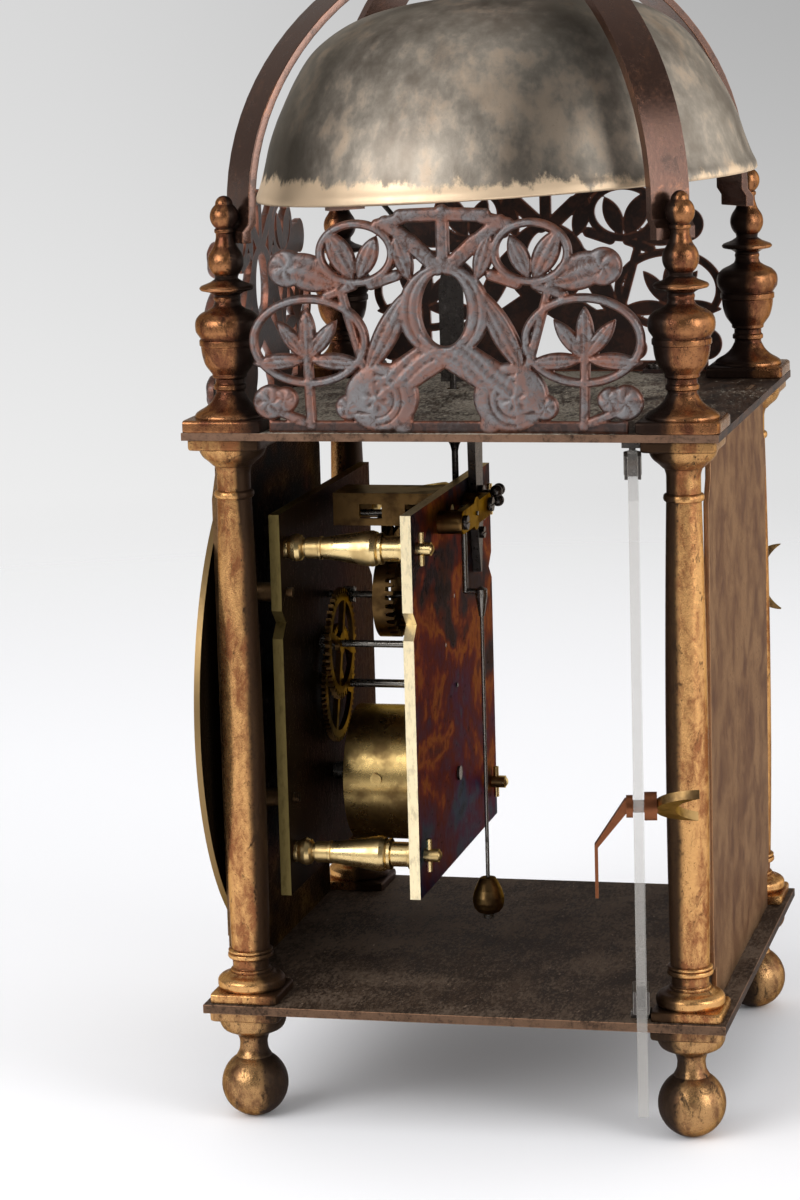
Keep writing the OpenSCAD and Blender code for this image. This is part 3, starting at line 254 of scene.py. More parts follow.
base_plate_brass = dusty_plate("base_plate_brass", (0.085, 0.055, 0.037), (0.042, 0.027, 0.019),
                               (0.122, 0.088, 0.064), 0.14, (0.2, 1.0, 1), 0.55, 0.5, (0.25, 0.14, 0.085))
top_plate_brass = dusty_plate("top_plate_brass", (0.12, 0.072, 0.048), (0.03, 0.02, 0.015),
                              (0.42, 0.38, 0.31), 0.18, (0.5, 1, 1), 0.50, 0.5, (0.30, 0.17, 0.11), swept=0.13)
case_brass = dusty_plate("case_brass", (0.37, 0.23, 0.14), (0.18, 0.105, 0.062), (0.1, 0.08, 0.06), 0.1,
                         (0.5, 3, 0.45), 0.44, 0.85)
# The dial plate is seen from behind, inside the case; its near black colours are painted shade.
dial_brass_painted_shade = dusty_plate("dial_brass_painted_shade", (0.10, 0.06, 0.022), (0.012, 0.008, 0.005), (0.05, 0.04, 0.03), 0.1,
                         (0.25, 1, 0.3), 0.50, 0.9)
print("plates:", [m.name for m in (base_plate_brass, top_plate_brass, case_brass, dial_brass_painted_shade)])

# %% [markdown]
# ## Dark straps and steel
# The bell straps are almost chocolate coloured, with copper showing where the edge has been rubbed.
# Steel pieces inside are blued and oily. Both are metals under a thin dark skin, so colour comes from
# the metal's tint and only roughness and a few scratches change along them.

# %% Straps and steel
def skinned_metal(name, tint, worn, gloss, edge_share, wax=0.0):
    """Metal with a dark skin that noise and the proud places wear through to the worn colour."""
    f = Finish(name)
    proud = f.attribute("proud")
    clouds = f.noise(9, 5, 0.62)
    fine = f.noise(1.3, 4, 0.7)
    through = f.step(clouds * 0.6 + fine * 0.4 + proud * edge_share, 0.52, 0.80)
    black = f.step(fine * 0.3 + f.noise(5, 4, 0.6) * 0.7, 0.52, 0.68)
    colour = f.mix(black * 0.6, f.mix(through, tint, worn), shaded(tint, 0.25))
    return f.surface(Base_Color=colour, Metallic=0.9 - black * 0.2, Roughness=gloss + (fine - 0.5) * 0.3 + black * 0.1,
                     Specular_Tint=(0.5, 0.45, 0.4, 1), Coat_Weight=wax, Coat_Roughness=0.18,
                     Normal=f.bump(fine * 0.6 + clouds * 0.4, 0.08))


strap_skin = skinned_metal("strap_skin", (0.115, 0.058, 0.040), (0.30, 0.13, 0.07), 0.20, 0.14, wax=0.6)
dark_steel = skinned_metal("dark_steel", (0.085, 0.075, 0.070), (0.30, 0.28, 0.25), 0.30, 0.3)
bright_steel = skinned_metal("bright_steel", (0.22, 0.205, 0.185), (0.52, 0.49, 0.44), 0.24, 0.3)
latch_copper = skinned_metal("latch_copper", (0.21, 0.075, 0.033), (0.36, 0.17, 0.085), 0.36, 0.2)
print("metals:", [m.name for m in (strap_skin, dark_steel, bright_steel, latch_copper)])

# %% [markdown]
# ## Polished brass of the movement
# Wheels, barrel and pillars were finished bright and have only dulled to straw, with brown finger marks.
# One flat yellow would look like plastic. Two clouds of different size, a large one that dulls and a small
# one that flecks, are enough, because the shapes themselves are busy.

# %% Polished brass
def movement_brass(name, bright, dull, gloss):
    """Bright brass with soft dull clouds and small brown flecks."""
    f = Finish(name)
    clouds = f.noise(8, 4, 0.6)
    flecks = f.step(f.noise(1.6, 4, 0.7), 0.62, 0.74)
    dulled = f.step(clouds, 0.42, 0.66)
    colour = f.mix(flecks * 0.5, f.mix(dulled, bright, dull), shaded(dull, 0.3))
    return f.surface(Base_Color=colour, Metallic=1.0, Specular_Tint=(0.5, 0.4, 0.25, 1),
                     Roughness=gloss + dulled * 0.13 + flecks * 0.1,
                     Normal=f.bump(clouds * 0.7 + flecks * 0.3, 0.03))


wheel_brass = movement_brass("wheel_brass", (0.20, 0.115, 0.042), (0.085, 0.047, 0.019), 0.34)
barrel_brass = movement_brass("barrel_brass", (0.52, 0.36, 0.14), (0.26, 0.165, 0.065), 0.26)
pillar_brass = movement_brass("pillar_brass", (0.80, 0.60, 0.29), (0.58, 0.41, 0.18), 0.26)
crescent_brass = movement_brass("crescent_brass", (0.32, 0.20, 0.08), (0.12, 0.07, 0.03), 0.34)
print("movement:", wheel_brass.name, barrel_brass.name, pillar_brass.name)

# %% [markdown]
# ## The back plate's rainbow
# Lacquer and heat have left the movement's back plate in upright bands of orange, purple and blue, while its narrow
# edges, filed bright, are pale gold. Thin films do that in the real metal. Here a colour ramp read along a value that
# is stretched upright gives the same bands, and the direction that a face looks decides between rainbow and filed edge.
# The faces that look towards the dial, inside the movement, get a near black colour instead, which is painted shade.

# %% Movement plates
def rainbow_plate(name, stops, inner, filed_edge, gloss, low):
    """Upright bands of tarnish on the outer face, which change from low millimetres upwards, the dark inner colour on
    the other face as painted shade, filed brass on the edges."""
    f = Finish(name)
    bands = f.noise(17, 5, 0.52, (0.42, 1, 0.62), 1.0)
    drift = f.noise(30, 3, 0.5, (0.6, 1, 0.8))
    fine = f.noise(1.4, 4, 0.7, (0.5, 1, 0.35))
    height = f.step(f.axis(f.at(), "Z"), low, low + 105)
    reading = (bands * 0.48 + drift * 0.34 + fine * 0.18) * 2.3 - 0.72 + (height - 0.5) * 0.36
    tarnish = f.node("ValToRGB", {"stops": stops}, {"Fac": reading}, "Color")
    facing = f.axis(f.facing, "Y")
    # Painted shade: faces that look towards the dial get the dark inner colour.
    tarnish = f.mix(f.step(facing, -0.2, 0.2), f.mix(reading, shaded(inner, 0.4), inner), tarnish)
    spots = f.step(f.noise(2.6, 5, 0.7, (0.4, 1, 1)), 0.60, 0.70)
    edge = f.across("Y")
    filed = f.mix(f.step(fine, 0.45, 0.7), filed_edge, shaded(filed_edge, 0.72))
    return f.surface(Base_Color=f.mix(edge, f.mix(spots * 0.6, tarnish, (0.02, 0.015, 0.02)), filed), Metallic=0.95,
                     Specular_Tint=(0.25, 0.18, 0.10, 1),
                     Roughness=gloss + (fine - 0.5) * 0.25 + spots * 0.1 + edge * 0.05,
                     Normal=f.bump(fine * (1 - edge), 0.05))


plate_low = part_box("movement_back")[0][2] / MM
back_plate_brass = rainbow_plate("back_plate_brass", [
    (0.0, (0.035, 0.055, 0.080)), (0.18, (0.085, 0.155, 0.250)), (0.29, (0.130, 0.060, 0.150)),
    (0.39, (0.17, 0.042, 0.032)), (0.48, (0.40, 0.19, 0.045)), (0.56, (0.19, 0.072, 0.022)),
    (0.66, (0.060, 0.070, 0.105)), (0.78, (0.08, 0.036, 0.018)), (1.0, (0.045, 0.031, 0.020))],
    (0.055, 0.034, 0.014), (1.0, 0.85, 0.55), 0.32, plate_low)
# The front plate stands inside the case; its dark ramp is painted shade.
front_plate_brass_painted_shade = rainbow_plate("front_plate_brass_painted_shade", [
    (0.0, (0.03, 0.018, 0.009)), (0.4, (0.075, 0.045, 0.018)), (0.7, (0.05, 0.028, 0.013)),
    (1.0, (0.14, 0.085, 0.03))], (0.07, 0.04, 0.016), (0.22, 0.165, 0.06), 0.42, plate_low)
print("plates of the movement:", back_plate_brass.name, front_plate_brass_painted_shade.name)

# %% [markdown]
# ## Bell metal
# The bell could have one grey, but then it would look like steel. It is high-tin bronze: pewter grey in
# clouds, warmer where it has been handled, with a ragged pale band along the rim. The band's edge is the
# height above the rim, pushed up and down by noise.

# %% Bell
def bell_bronze(name, rim_height):
    """Grey clouds over warm bronze; below rim_height millimetres, wavering, it is pale gold."""
    f = Finish(name)
    above = f.axis(f.at(), "Z")
    clouds = f.noise(26, 5, 0.6, (1, 1, 0.8))
    patches = f.noise(6, 6, 0.66, (1, 1, 0.7))
    fine = f.noise(0.9, 4, 0.75)
    wave = f.noise(5, 4, 0.6, (1, 1, 0.3))
    grey = f.mix(f.step(clouds * 0.5 + patches * 0.5, 0.34, 0.66), (0.225, 0.192, 0.155), (0.43, 0.385, 0.325))
    warm = f.mix(f.step(patches * 0.5 + clouds * 0.5, 0.48, 0.62) * 0.65, grey, (0.56, 0.42, 0.30))
    pits = f.step(fine * 0.6 + patches * 0.4, 0.60, 0.70) * 0.5
    smoke = f.step(f.noise(19, 5, 0.6, (1, 1, 0.5)), 0.44, 0.68)
    worn = f.mix(smoke * 0.42, f.mix(pits, warm, (0.10, 0.085, 0.065)), (0.085, 0.060, 0.044))
    band = 1 - f.step(above + (wave - 0.5) * 10 + (fine - 0.5) * 3, rim_height, rim_height + 2.2)
    along = f.axis(f.at(), "Y") + (clouds - 0.5) * 20
    shade = (1 - f.step(along, -66, -26)) * 0.95 + (1 - f.step(f.size_of(along - 28), 2, 20)) * 0.6
    colour = f.mix(band, f.mix(shade, worn, (0.04, 0.036, 0.03)), (0.74, 0.56, 0.38))
    return f.surface(Base_Color=colour, Metallic=0.82 - band * 0.12, Specular_Tint=(0.6, 0.55, 0.48, 1),
                     Roughness=0.44 + (patches - 0.5) * 0.35 + pits * 0.15,
                     Normal=f.bump(clouds * 0.5 + patches * 0.3 + fine * 0.2, 0.16))


rim_z, band_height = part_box("bell")[0][2] / MM, 6.4
bell_metal = bell_bronze("bell_metal", rim_z + band_height)
print("bell rim at", round(rim_z, 1), "mm")

# %% [markdown]
# ## Fret brass
# The pierced frets are cast and chased. Their faces have a blue-grey bloom, and copper shows in patches and at every
# edge that a finger can reach. Three numbers on the vertices carry that: how far a point is from the nearest cut edge,
# how high the relief stands there, and how far it stands above or below what lies around it. The last two also paint
# shade black into the grooves, the low ground and the back, and lay part of the bloom on the ridges as a painted
# highlight. A picture painted on would slide off the relief when the drawing changes; these can't.

# %% Fret
def fret_bloom(name, bloom, body, copper):
    """Bloom on the high backs of the relief, in streaks, partly as a painted highlight on the ridges; copper in patches
    and at cut edges; black below, in every groove and on the back, as painted shade."""
    f = Finish(name)
    inside, high, ridge = f.attribute("inside"), f.attribute("high"), f.attribute("ridge")
    clouds = f.noise(8, 5, 0.62, twist=0.8)
    streaks = f.noise(2.6, 5, 0.7, twist=1.5)
    fine = f.noise(0.7, 4, 0.75)
    rubbed = (1 - f.step(inside + (streaks - 0.5) * 2.4, -0.2, 0.7)) * 0.4
    patch = f.step(clouds * 0.55 + streaks * 0.45, 0.44, 0.57)
    # dusted is real bloom plus a painted highlight on the ridges.
    dusted = f.step(high * 0.20 + ridge * 0.5 + streaks * 0.8 + fine * 0.15, 0.42, 0.70) * (1 - patch * 0.6)
    base = f.mix(f.step(patch + rubbed, 0.0, 1.1), body, copper)
    colour = f.mix(dusted, base, bloom)
    # low is painted shade: black on low ground, in grooves and on the back.
    low = f.step(0.30 - high + (fine - 0.5) * 0.25, 0.0, 0.32) * f.step(inside, 0.2, 0.6)
    low = f.step(low * 0.8 + f.step(ridge * -1 + (fine - 0.5) * 0.05, 0.0, 0.20) * 0.7, 0.0, 1.0)
    return f.surface(Base_Color=f.mix(low * 0.85, colour, (0.022, 0.016, 0.015)), Metallic=0.72 - low * 0.2,
                     Roughness=0.38 + dusted * 0.10 + (fine - 0.5) * 0.22,
                     Normal=f.bump(fine * 0.5 + streaks * 0.5, 0.12))


fret_brass = fret_bloom("fret_brass", (0.195, 0.188, 0.192), (0.085, 0.045, 0.035), (0.22, 0.085, 0.052))
print("fret finish:", fret_brass.name)

# %% [markdown]
# ## Glass, wax and the chapter ring
# Old window glass is almost clean. Real glass would refract and need many light bounces; a pane this thin
# looks the same as a glossy skin that is nearly transparent, with a faint film of dust and cut edges that
# are pale. The wax in the numerals is dull black. On the ring, the minute track is engraved: two fine
# circles and sixty lines, found from the angle and the radius.

# %% Glass, wax and ring
def window_glass():
    """Clear pane with a faint film of dust; its cut edges are pale and nearly opaque."""
    f = Finish("window_glass")
    smears = f.step(f.noise(16, 5, 0.65, (1, 1, 0.5)), 0.45, 0.75)
    cut = f.across("Y")
    return f.surface(Base_Color=(0.38, 0.36, 0.335, 1), Roughness=0.08 + smears * 0.2, IOR=1.5,
                     Alpha=0.09 + smears * 0.04 + cut * 0.24)


def numeral_wax():
    f = Finish("numeral_wax")
    worn = f.step(f.noise(0.8, 4, 0.7), 0.6, 0.75)
    return f.surface(Base_Color=f.mix(worn, (0.012, 0.011, 0.010), (0.05, 0.04, 0.03)),
                     Roughness=0.55 - worn * 0.1, Normal=f.bump(worn, 0.03))


def ring_brass(centre_z, outer):
    """Aged ring with its minute track: lines where the turn is a multiple of six degrees. Its back is painted near
    black as shade.
    """
    f = Finish("ring_brass")
    x, up = f.axis(f.at(), "X"), f.axis(f.at(), "Z") - centre_z
    radius = (x * x + up * up) ** 0.5
    turn = f.node("Math", {"operation": "ARCTAN2"}, {0: x, 1: up}) * (30 / math.pi)
    off = f.size_of(turn - f.node("Math", {"operation": "ROUND"}, {0: turn}))
    tick = 1 - f.step(off * radius * (math.pi / 30), 0.14, 0.24)
    tick = tick * (1 - f.step(f.size_of(radius - (outer - 2.6)), 1.2, 1.3))
    circles = sum((1 - f.step(f.size_of(radius - (outer - d)), 0.13, 0.22) for d in (1.4, 3.8)), 0)
    front = f.step(f.axis(f.facing, "Y") * -1, 0.7, 0.9)
    cut = f.step((tick + circles) * front, 0.0, 1.0)
    clouds, fine = f.noise(9, 5, 0.62), f.noise(1.2, 4, 0.7)
    metal = f.mix(f.step(clouds, 0.4, 0.65), (0.66, 0.47, 0.21), (0.33, 0.21, 0.09))
    side = f.across("Y")
    rubbed = f.attribute("proud") * f.step(fine * 0.5 + clouds * 0.5, 0.36, 0.5)
    # Painted shade: behind makes the back of the ring, which faces the movement, near black.
    behind = f.step(f.axis(f.facing, "Y"), 0.5, 0.8)
    metal = f.mix(behind, f.mix(side, metal, (0.26, 0.17, 0.075)), (0.022, 0.015, 0.008))
    metal = f.mix(rubbed, metal, (0.85, 0.62, 0.30))
    colour = f.mix(cut, metal, (0.02, 0.016, 0.012))
    return f.surface(Base_Color=colour, Metallic=1 - cut * 0.9, Specular_Tint=(0.3, 0.24, 0.16, 1),
                     Roughness=0.30 + clouds * 0.12 + cut * 0.2 + behind * 0.2,
                     Normal=f.bump(fine - cut, 0.05))


glass = window_glass()
wax = numeral_wax()
dial_z = sum(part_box("chapter_ring")[i][2] for i in (0, 1)) / 2 / MM
ring_r = (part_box("chapter_ring")[1][0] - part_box("chapter_ring")[0][0]) / 2 / MM
ring_finish = ring_brass(dial_z, ring_r)
print("ring centre at", round(dial_z, 2), "mm, radius", round(ring_r, 2), "mm")

# %% [markdown]
# ## From arrays to meshes
# A surface is a grid of points worked out all at once. Joining neighbours into quads, merging the seam
# and the poles, and turning the faces outwards are the same for every piece, so they are written once.
# Numbers such as "how proud is this spot" travel with the points as attributes for the shaders.

# %% Grid helpers
def quads(rows, columns):
    """Corner numbers of each quad of a grid whose last column meets the first."""
    i, j = np.meshgrid(np.arange(rows - 1), np.arange(columns), indexing="ij")
    beside = (j + 1) % columns
    corners = [i * columns + j, i * columns + beside, (i + 1) * columns + beside, (i + 1) * columns + j]
    return np.stack(corners, -1).reshape(-1, 4)


def joined(*parts):
    """Several (points, faces, numbers) in one, with the face numbers moved along."""
    starts = np.cumsum([0] + [len(p[0]) for p in parts[:-1]])
    numbers = {k: np.concatenate([p[2][k] for p in parts]) for k in parts[0][2]}
    return (np.concatenate([p[0] for p in parts]), np.concatenate([p[1] + s for p, s in zip(parts, starts)]), numbers)


def add_to_scene(name, data):
    """An object that shows the data, linked to the scene."""
    made = bpy.data.objects.new(name, data)
    bpy.context.scene.collection.objects.link(made)
    return made


def put(name, shape, finish, nodes, crease=35):
    """Makes the object from (points, quads, numbers), rides it on the nodes' body and hides those nodes."""
    points, faces, numbers = shape
    mesh = bpy.data.meshes.new(name)
    mesh.from_pydata((points * MM).tolist(), [], faces.tolist())
    for key, values in numbers.items():
        mesh.attributes.new(key, "FLOAT", "POINT").data.foreach_set("value", values.astype(np.float32))
    work = bmesh.new()
    work.from_mesh(mesh)
    bmesh.ops.remove_doubles(work, verts=work.verts, dist=1e-6)
    bmesh.ops.recalc_face_normals(work, faces=work.faces)
    work.to_mesh(mesh)
    work.free()
    return finished(name, mesh, finish, nodes, crease)


def finished(name, mesh, finish, nodes, crease):
    """Smooth shading with creases kept sharp, then the material and the body; the nodes are hidden."""
    mesh.shade_smooth()
    mesh.set_sharp_from_angle(angle=math.radians(crease))
    mesh.materials.clear()
    mesh.materials.append(finish)
    made = add_to_scene(name, mesh)
    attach(made, body_of_node[nodes[0]])
    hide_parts(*nodes)
    return made


print("a ring of 3 rows and 4 columns has", len(quads(3, 4)), "quads")

# %% [markdown]
# ## Turned work
# Columns, feet, finials and pillars were turned on a lathe: one outline, spun. A lathe tool leaves no
# razor arris, so each corner of the outline is cut by a small curve. The outline also knows where it
# stands proud of its own average, which is where the brass wears bright. Plinths use the same spin with
# a squared circle: the radius is divided by the p-norm of (cos, sin), and p = 16 is nearly a square.

# %% Profiles and turning
def moulding(corners):
    """Outline from (radius, height, softness). Each corner becomes a parabola from softness before it to
    softness after it: (1-t)^2 A + 2t(1-t) C + t^2 B, and long runs get a point every 0.8 mm."""
    spots = np.array([c[:2] for c in corners], float)
    soft = np.array([c[2] if len(c) > 2 else 0 for c in corners], float)
    runs = np.linalg.norm(np.diff(spots, axis=0), axis=1)
    t = np.linspace(0, 1, 7)[:, None]
    out = [spots[:1]]
    for k in range(1, len(spots) - 1):
        reach = min(soft[k], 0.48 * runs[k - 1], 0.48 * runs[k])
        a = spots[k] + (spots[k - 1] - spots[k]) * reach / runs[k - 1]
        b = spots[k] + (spots[k + 1] - spots[k]) * reach / runs[k]
        out.append((1 - t) ** 2 * a + 2 * t * (1 - t) * spots[k] + t ** 2 * b if reach else spots[k:k + 1])
    line = np.concatenate(out + [spots[-1:]])
    along = np.concatenate([[0], np.cumsum(np.linalg.norm(np.diff(line, axis=0), axis=1))])
    keep = np.unique(np.round(np.concatenate([along, np.arange(0, along[-1], 0.8)]), 4))
    return np.stack([np.interp(keep, along, line[:, 0]), np.interp(keep, along, line[:, 1])], 1)


def raised(height, line):
    """The same outline, moved up by height."""
    return [(r, z + height, *soft) for r, z, *soft in line]


def proudness(profile, reach=2.2, scale=0.8):
    """How far each point stands out from the outline's average over reach millimetres, from -1 to 1."""
    along = np.concatenate([[0], np.cumsum(np.linalg.norm(np.diff(profile, axis=0), axis=1))])
    near = np.exp(-((along[:, None] - along) / reach) ** 2) * np.gradient(along)
    return np.clip((profile[:, 0] - near @ profile[:, 0] / near.sum(1)) / scale, -1, 1)


def turned(profile, centre, sides=72, square=False, wobble=0.0):
    """Spins the outline: x = r(a) cos a, y = r(a) sin a. wobble adds a slow hand-made ovality."""
    angle = 2 * np.pi * np.arange(sides) / sides
    shape, power = np.ones(sides), 16
    if square:
        shape = (np.abs(np.cos(angle)) ** power + np.abs(np.sin(angle)) ** power) ** (-1 / power)
    drift = 1 + wobble * np.cos(2 * angle + profile[:, 1:] * 0.03)
    r = profile[:, :1] * shape * drift
    z = np.broadcast_to(profile[:, 1:], r.shape)
    points = np.stack([r * np.cos(angle) + centre[0], r * np.sin(angle) + centre[1], z], -1).reshape(-1, 3)
    # inner is larger on the side of a corner piece that faces into the case, and on the back pieces; the brass finishes
    # paint shade with it.
    inner = -(0.25 * np.sign(round(centre[0])) * np.cos(angle) + np.sign(round(centre[1])) * np.sin(angle))
    inner = inner + 0.14 * np.sign(round(centre[1]))
    arris = np.clip((shape - 1.29) / 0.06, 0, 1) * 0.8
    proud = np.clip(proudness(profile)[:, None] * (0.25 if square else 1) - 0.3 * square + arris, -1, 1).ravel()
    return points, quads(len(profile), sides), {"proud": proud, "inner": np.tile(inner, len(profile))}


def middle(node):
    """Centre of a node's box in millimetres."""
    return [(a + b) / 2 / MM for a, b in zip(*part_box(node))]


floor_z, roof_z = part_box("base_plate")[1][2] / MM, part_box("top_plate")[0][2] / MM
base_z, top_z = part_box("base_plate")[0][2] / MM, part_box("top_plate")[1][2] / MM
print("case from", round(floor_z, 1), "to", round(roof_z, 1), "mm")

# %% [markdown]
# ## Columns
# Each column could be a plain cylinder between two discs, but its mouldings are what the eye reads.
# A stout little Tuscan column: square plinth, fat torus, a drum with a double ring, a shaft that swells
# a third of the way up, an astragal, and a spreading capital under a square abacus.

# %% Columns
def shaft(low, high, radius=5.6, fullest=0.35, steps=16):
    """Radius along the shaft: full at 35 % of its height, falling away as a square either side."""
    share = np.linspace(0, 1, steps)
    below, above = (fullest - share) / fullest, (share - fullest) / (1 - fullest)
    fall = np.where(share < fullest, 0.08 * below ** 2, 0.175 * above ** 2)
    return [(radius * (1 - f), low + s * (high - low), 0) for s, f in zip(share, fall)]


column_line = moulding(
    raised(floor_z, [(0, 2.5), (8.3, 2.5, 0.2), (9.1, 3.3, 0.8), (9.1, 5.3, 1.1), (8.1, 6.2, 0.4), (6.7, 6.5, 0.6),
                     (6.0, 7.2, 0.2), (5.5, 7.3, 0.1), (5.5, 7.9, 0.2), (4.9, 8.2, 0.3), (4.95, 10.7, 0.2),
                     (5.7, 10.9, 0.2), (6.15, 11.3, 0.4), (6.15, 12.3, 0.4), (5.5, 12.5, 0.1), (6.0, 12.7, 0.2),
                     (6.0, 13.3, 0.25)]) + shaft(floor_z + 13.6, roof_z - 16.8) +
    raised(roof_z, [(4.62, -16.5, 0.1), (5.1, -16.3, 0.2), (5.4, -15.6, 0.5), (5.2, -14.6, 0.4), (4.5, -14.3, 0.2),
                    (4.5, -9.4, 1.2), (5.0, -7.9, 0.4), (5.4, -7.7, 0.1), (6.4, -6.7, 0.6), (8.2, -5.3, 1.4),
                    (9.1, -3.2, 1.0), (9.0, -2.7, 0.1), (0, -2.7)]))
plinth_line = moulding(raised(floor_z, [(0, 0), (9.4, 0, 0.4), (9.45, 2.6, 0.9), (0, 2.6)]))
abacus_line = moulding(raised(roof_z, [(0, -2.9), (9.8, -2.9, 0.8), (9.8, 0, 0.4), (0, 0)]))
columns = [n for n in frame["nodes"] if n.startswith("column")]
for node in columns:
    at = middle(node)
    put("turned_" + node, joined(turned(column_line, at, 80, wobble=0.006), turned(plinth_line, at, 80, True),
                                 turned(abacus_line, at, 80, True)), aged_brass, [node])
print("column outline of", len(column_line), "points")

# %% [markdown]
# ## Feet
# A sphere on a cone would do from afar. Here the whole foot is one outline, as it left the lathe.
# Ball feet hang from a flared sleeve under a small square. The four are one node in the model, so the
# four shapes join into one piece. The ball is an arc of points, flat where it has stood for centuries.

# %% Feet
def ball(radius, centre_z, low, high, steps=40):
    """Part of a circle as (r, z) pairs, between two angles from the downward pole, in degrees."""
    a = np.radians(np.linspace(low, high, steps))
    return [(radius * math.sin(v), centre_z - radius * math.cos(v), 0) for v in a]


foot_line = moulding([(0, 0)] + ball(9.1, 8.9, 12.2, 149) + raised(base_z, [
    (4.9, -14.6, 0.2), (4.75, -13.9, 0.4), (3.95, -12.6, 0.8), (3.7, -10.2, 1.2), (4.2, -8.6, 0.5), (4.5, -8.2, 0.1),
    (5.4, -7.6, 0.5), (8.2, -6.3, 0.9), (9.1, -4.4, 0.8), (9.0, -2.5, 0.2), (0, -2.5)]))
foot_square = moulding(raised(base_z, [(0, -2.7), (9.6, -2.7, 0.9), (9.65, 0, 0.4), (0, 0)]))
corners = [middle(node)[:2] for node in columns]
put("turned_feet", joined(*[turned(line, c, 80, square, 0.0 if square else 0.008)
                            for c in corners for line, square in ((foot_line, False), (foot_square, True))]),
    foot_brass, ["feet"])
print("feet at", [[round(v) for v in c] for c in corners])

# %% [markdown]
# ## Finials
# Each corner carries a vase with a broad lip, a thin disc, a ball, and a small ball drawn up to a button.
# The top finial is the same head on a bell-shaped foot. They are glossier and redder than the columns,
# because nothing has rubbed them but wax.

# %% Finials
def finial_head(base):
    """Outline of the vase and everything above it, from its foot at height base."""
    line = [(3.9, 0, 0.2), (3.9, 1.2, 0.2), (4.6, 1.6, 0.3), (4.6, 2.4, 0.3), (5.2, 3.2, 0.5), (6.4, 4.8, 0.9),
            (7.15, 7.4, 1.2), (7.4, 9.8, 0.3), (7.75, 10.1, 0.15), (7.75, 11.4, 0.15), (7.35, 11.8, 0.2),
            (7.9, 12.6, 0.3), (8.6, 13.6, 0.5), (8.8, 15.3, 0.9), (8.5, 17.0, 0.8), (7.2, 18.4, 0.7),
            (5.0, 19.4, 0.5), (3.7, 20.2, 0.5), (3.35, 21.4, 0.4), (3.6, 22.3, 0.3), (3.3, 23.1, 0.3),
            (4.6, 23.9, 0.3), (6.9, 24.4, 0.2), (7.3, 25.0, 0.3), (6.8, 25.6, 0.2), (4.4, 26.5, 0.4), (3.0, 27.4, 0.3)]
    line += ball(4.75, 31.9, 42, 128, 18) + [
        (3.1, 35.8, 0.5), (2.4, 38.0, 0.5), (2.4, 39.2, 0.1), (2.75, 39.5, 0.2), (2.75, 40.3, 0.2), (2.4, 40.5, 0.1)]
    line += ball(3.8, 43.6, 40, 143, 18) + ball(2.3, 46.7, 84, 180, 12)
    return raised(base, line)


finial_line = moulding(raised(top_z, [
    (0, 2.9), (9.6, 2.9, 0.1), (9.6, 3.7, 0.3), (9.2, 4.3, 0.3), (8.3, 4.9, 0.5), (6.6, 5.8, 0.9), (4.9, 7.4, 1.0),
    (3.8, 9.6, 0.8), (3.9, 10.2, 0.1), (4.4, 10.5, 0.2), (4.4, 11.5, 0.2)]) + finial_head(top_z + 12))
finial_square = moulding(raised(top_z, [(0, 0), (10.9, 0, 0.5), (10.9, 3.2, 0.9), (0, 3.3)]))
for node in [n for n in frame["nodes"] if n.startswith("finial")]:
    at = middle(node)
    put("turned_" + node, joined(turned(finial_line, at, 72, wobble=0.005), turned(finial_square, at, 72, True)),
        red_brass, [node])
crown_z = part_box("top_finial")[0][2] / MM
crown_line = moulding(raised(crown_z, [
    (0, 0), (9.0, 0, 0.3), (9.2, 1, 0.5), (8.8, 2, 0.5), (6.4, 3.3, 0.9), (4.4, 5.2, 0.8), (3.8, 7.2, 0.5),
    (4.2, 8.6, 0.4)]) + finial_head(crown_z + 9))
put("turned_top_finial", turned(crown_line, (0, 0), 80, wobble=0.004), red_brass, ["top_finial"])
print("finial outline of", len(finial_line), "points, top at", round(float(crown_line[:, 1].max()), 1))

# %% [markdown]
# ## The bell
# The bell leans a little on its stud. Its outline is a cast curve with a thickened lip, so it is drawn
# as a smooth line through a few measured points, and the wall is the same line moved inwards. A real
# casting isn't perfectly round: a few slow waves in the radius, a tenth of a millimetre or two deep,
# make the reflections bend as they do on the old metal.

# %% Bell
def through(points, steps):
    """Smooth curve through the points: piecewise cubic whose slopes are the mean of its neighbours'."""
    p = np.array(points, float)
    m = np.gradient(p, axis=0)
    at = np.linspace(0, len(p) - 1, steps)
    k = np.minimum(at.astype(int), len(p) - 2)
    t = (at - k)[:, None]
    return ((2 * t ** 3 - 3 * t ** 2 + 1) * p[k] + (t ** 3 - 2 * t ** 2 + t) * m[k]
            + (3 * t ** 2 - 2 * t ** 3) * p[k + 1] + (t ** 3 - t ** 2) * m[k + 1])


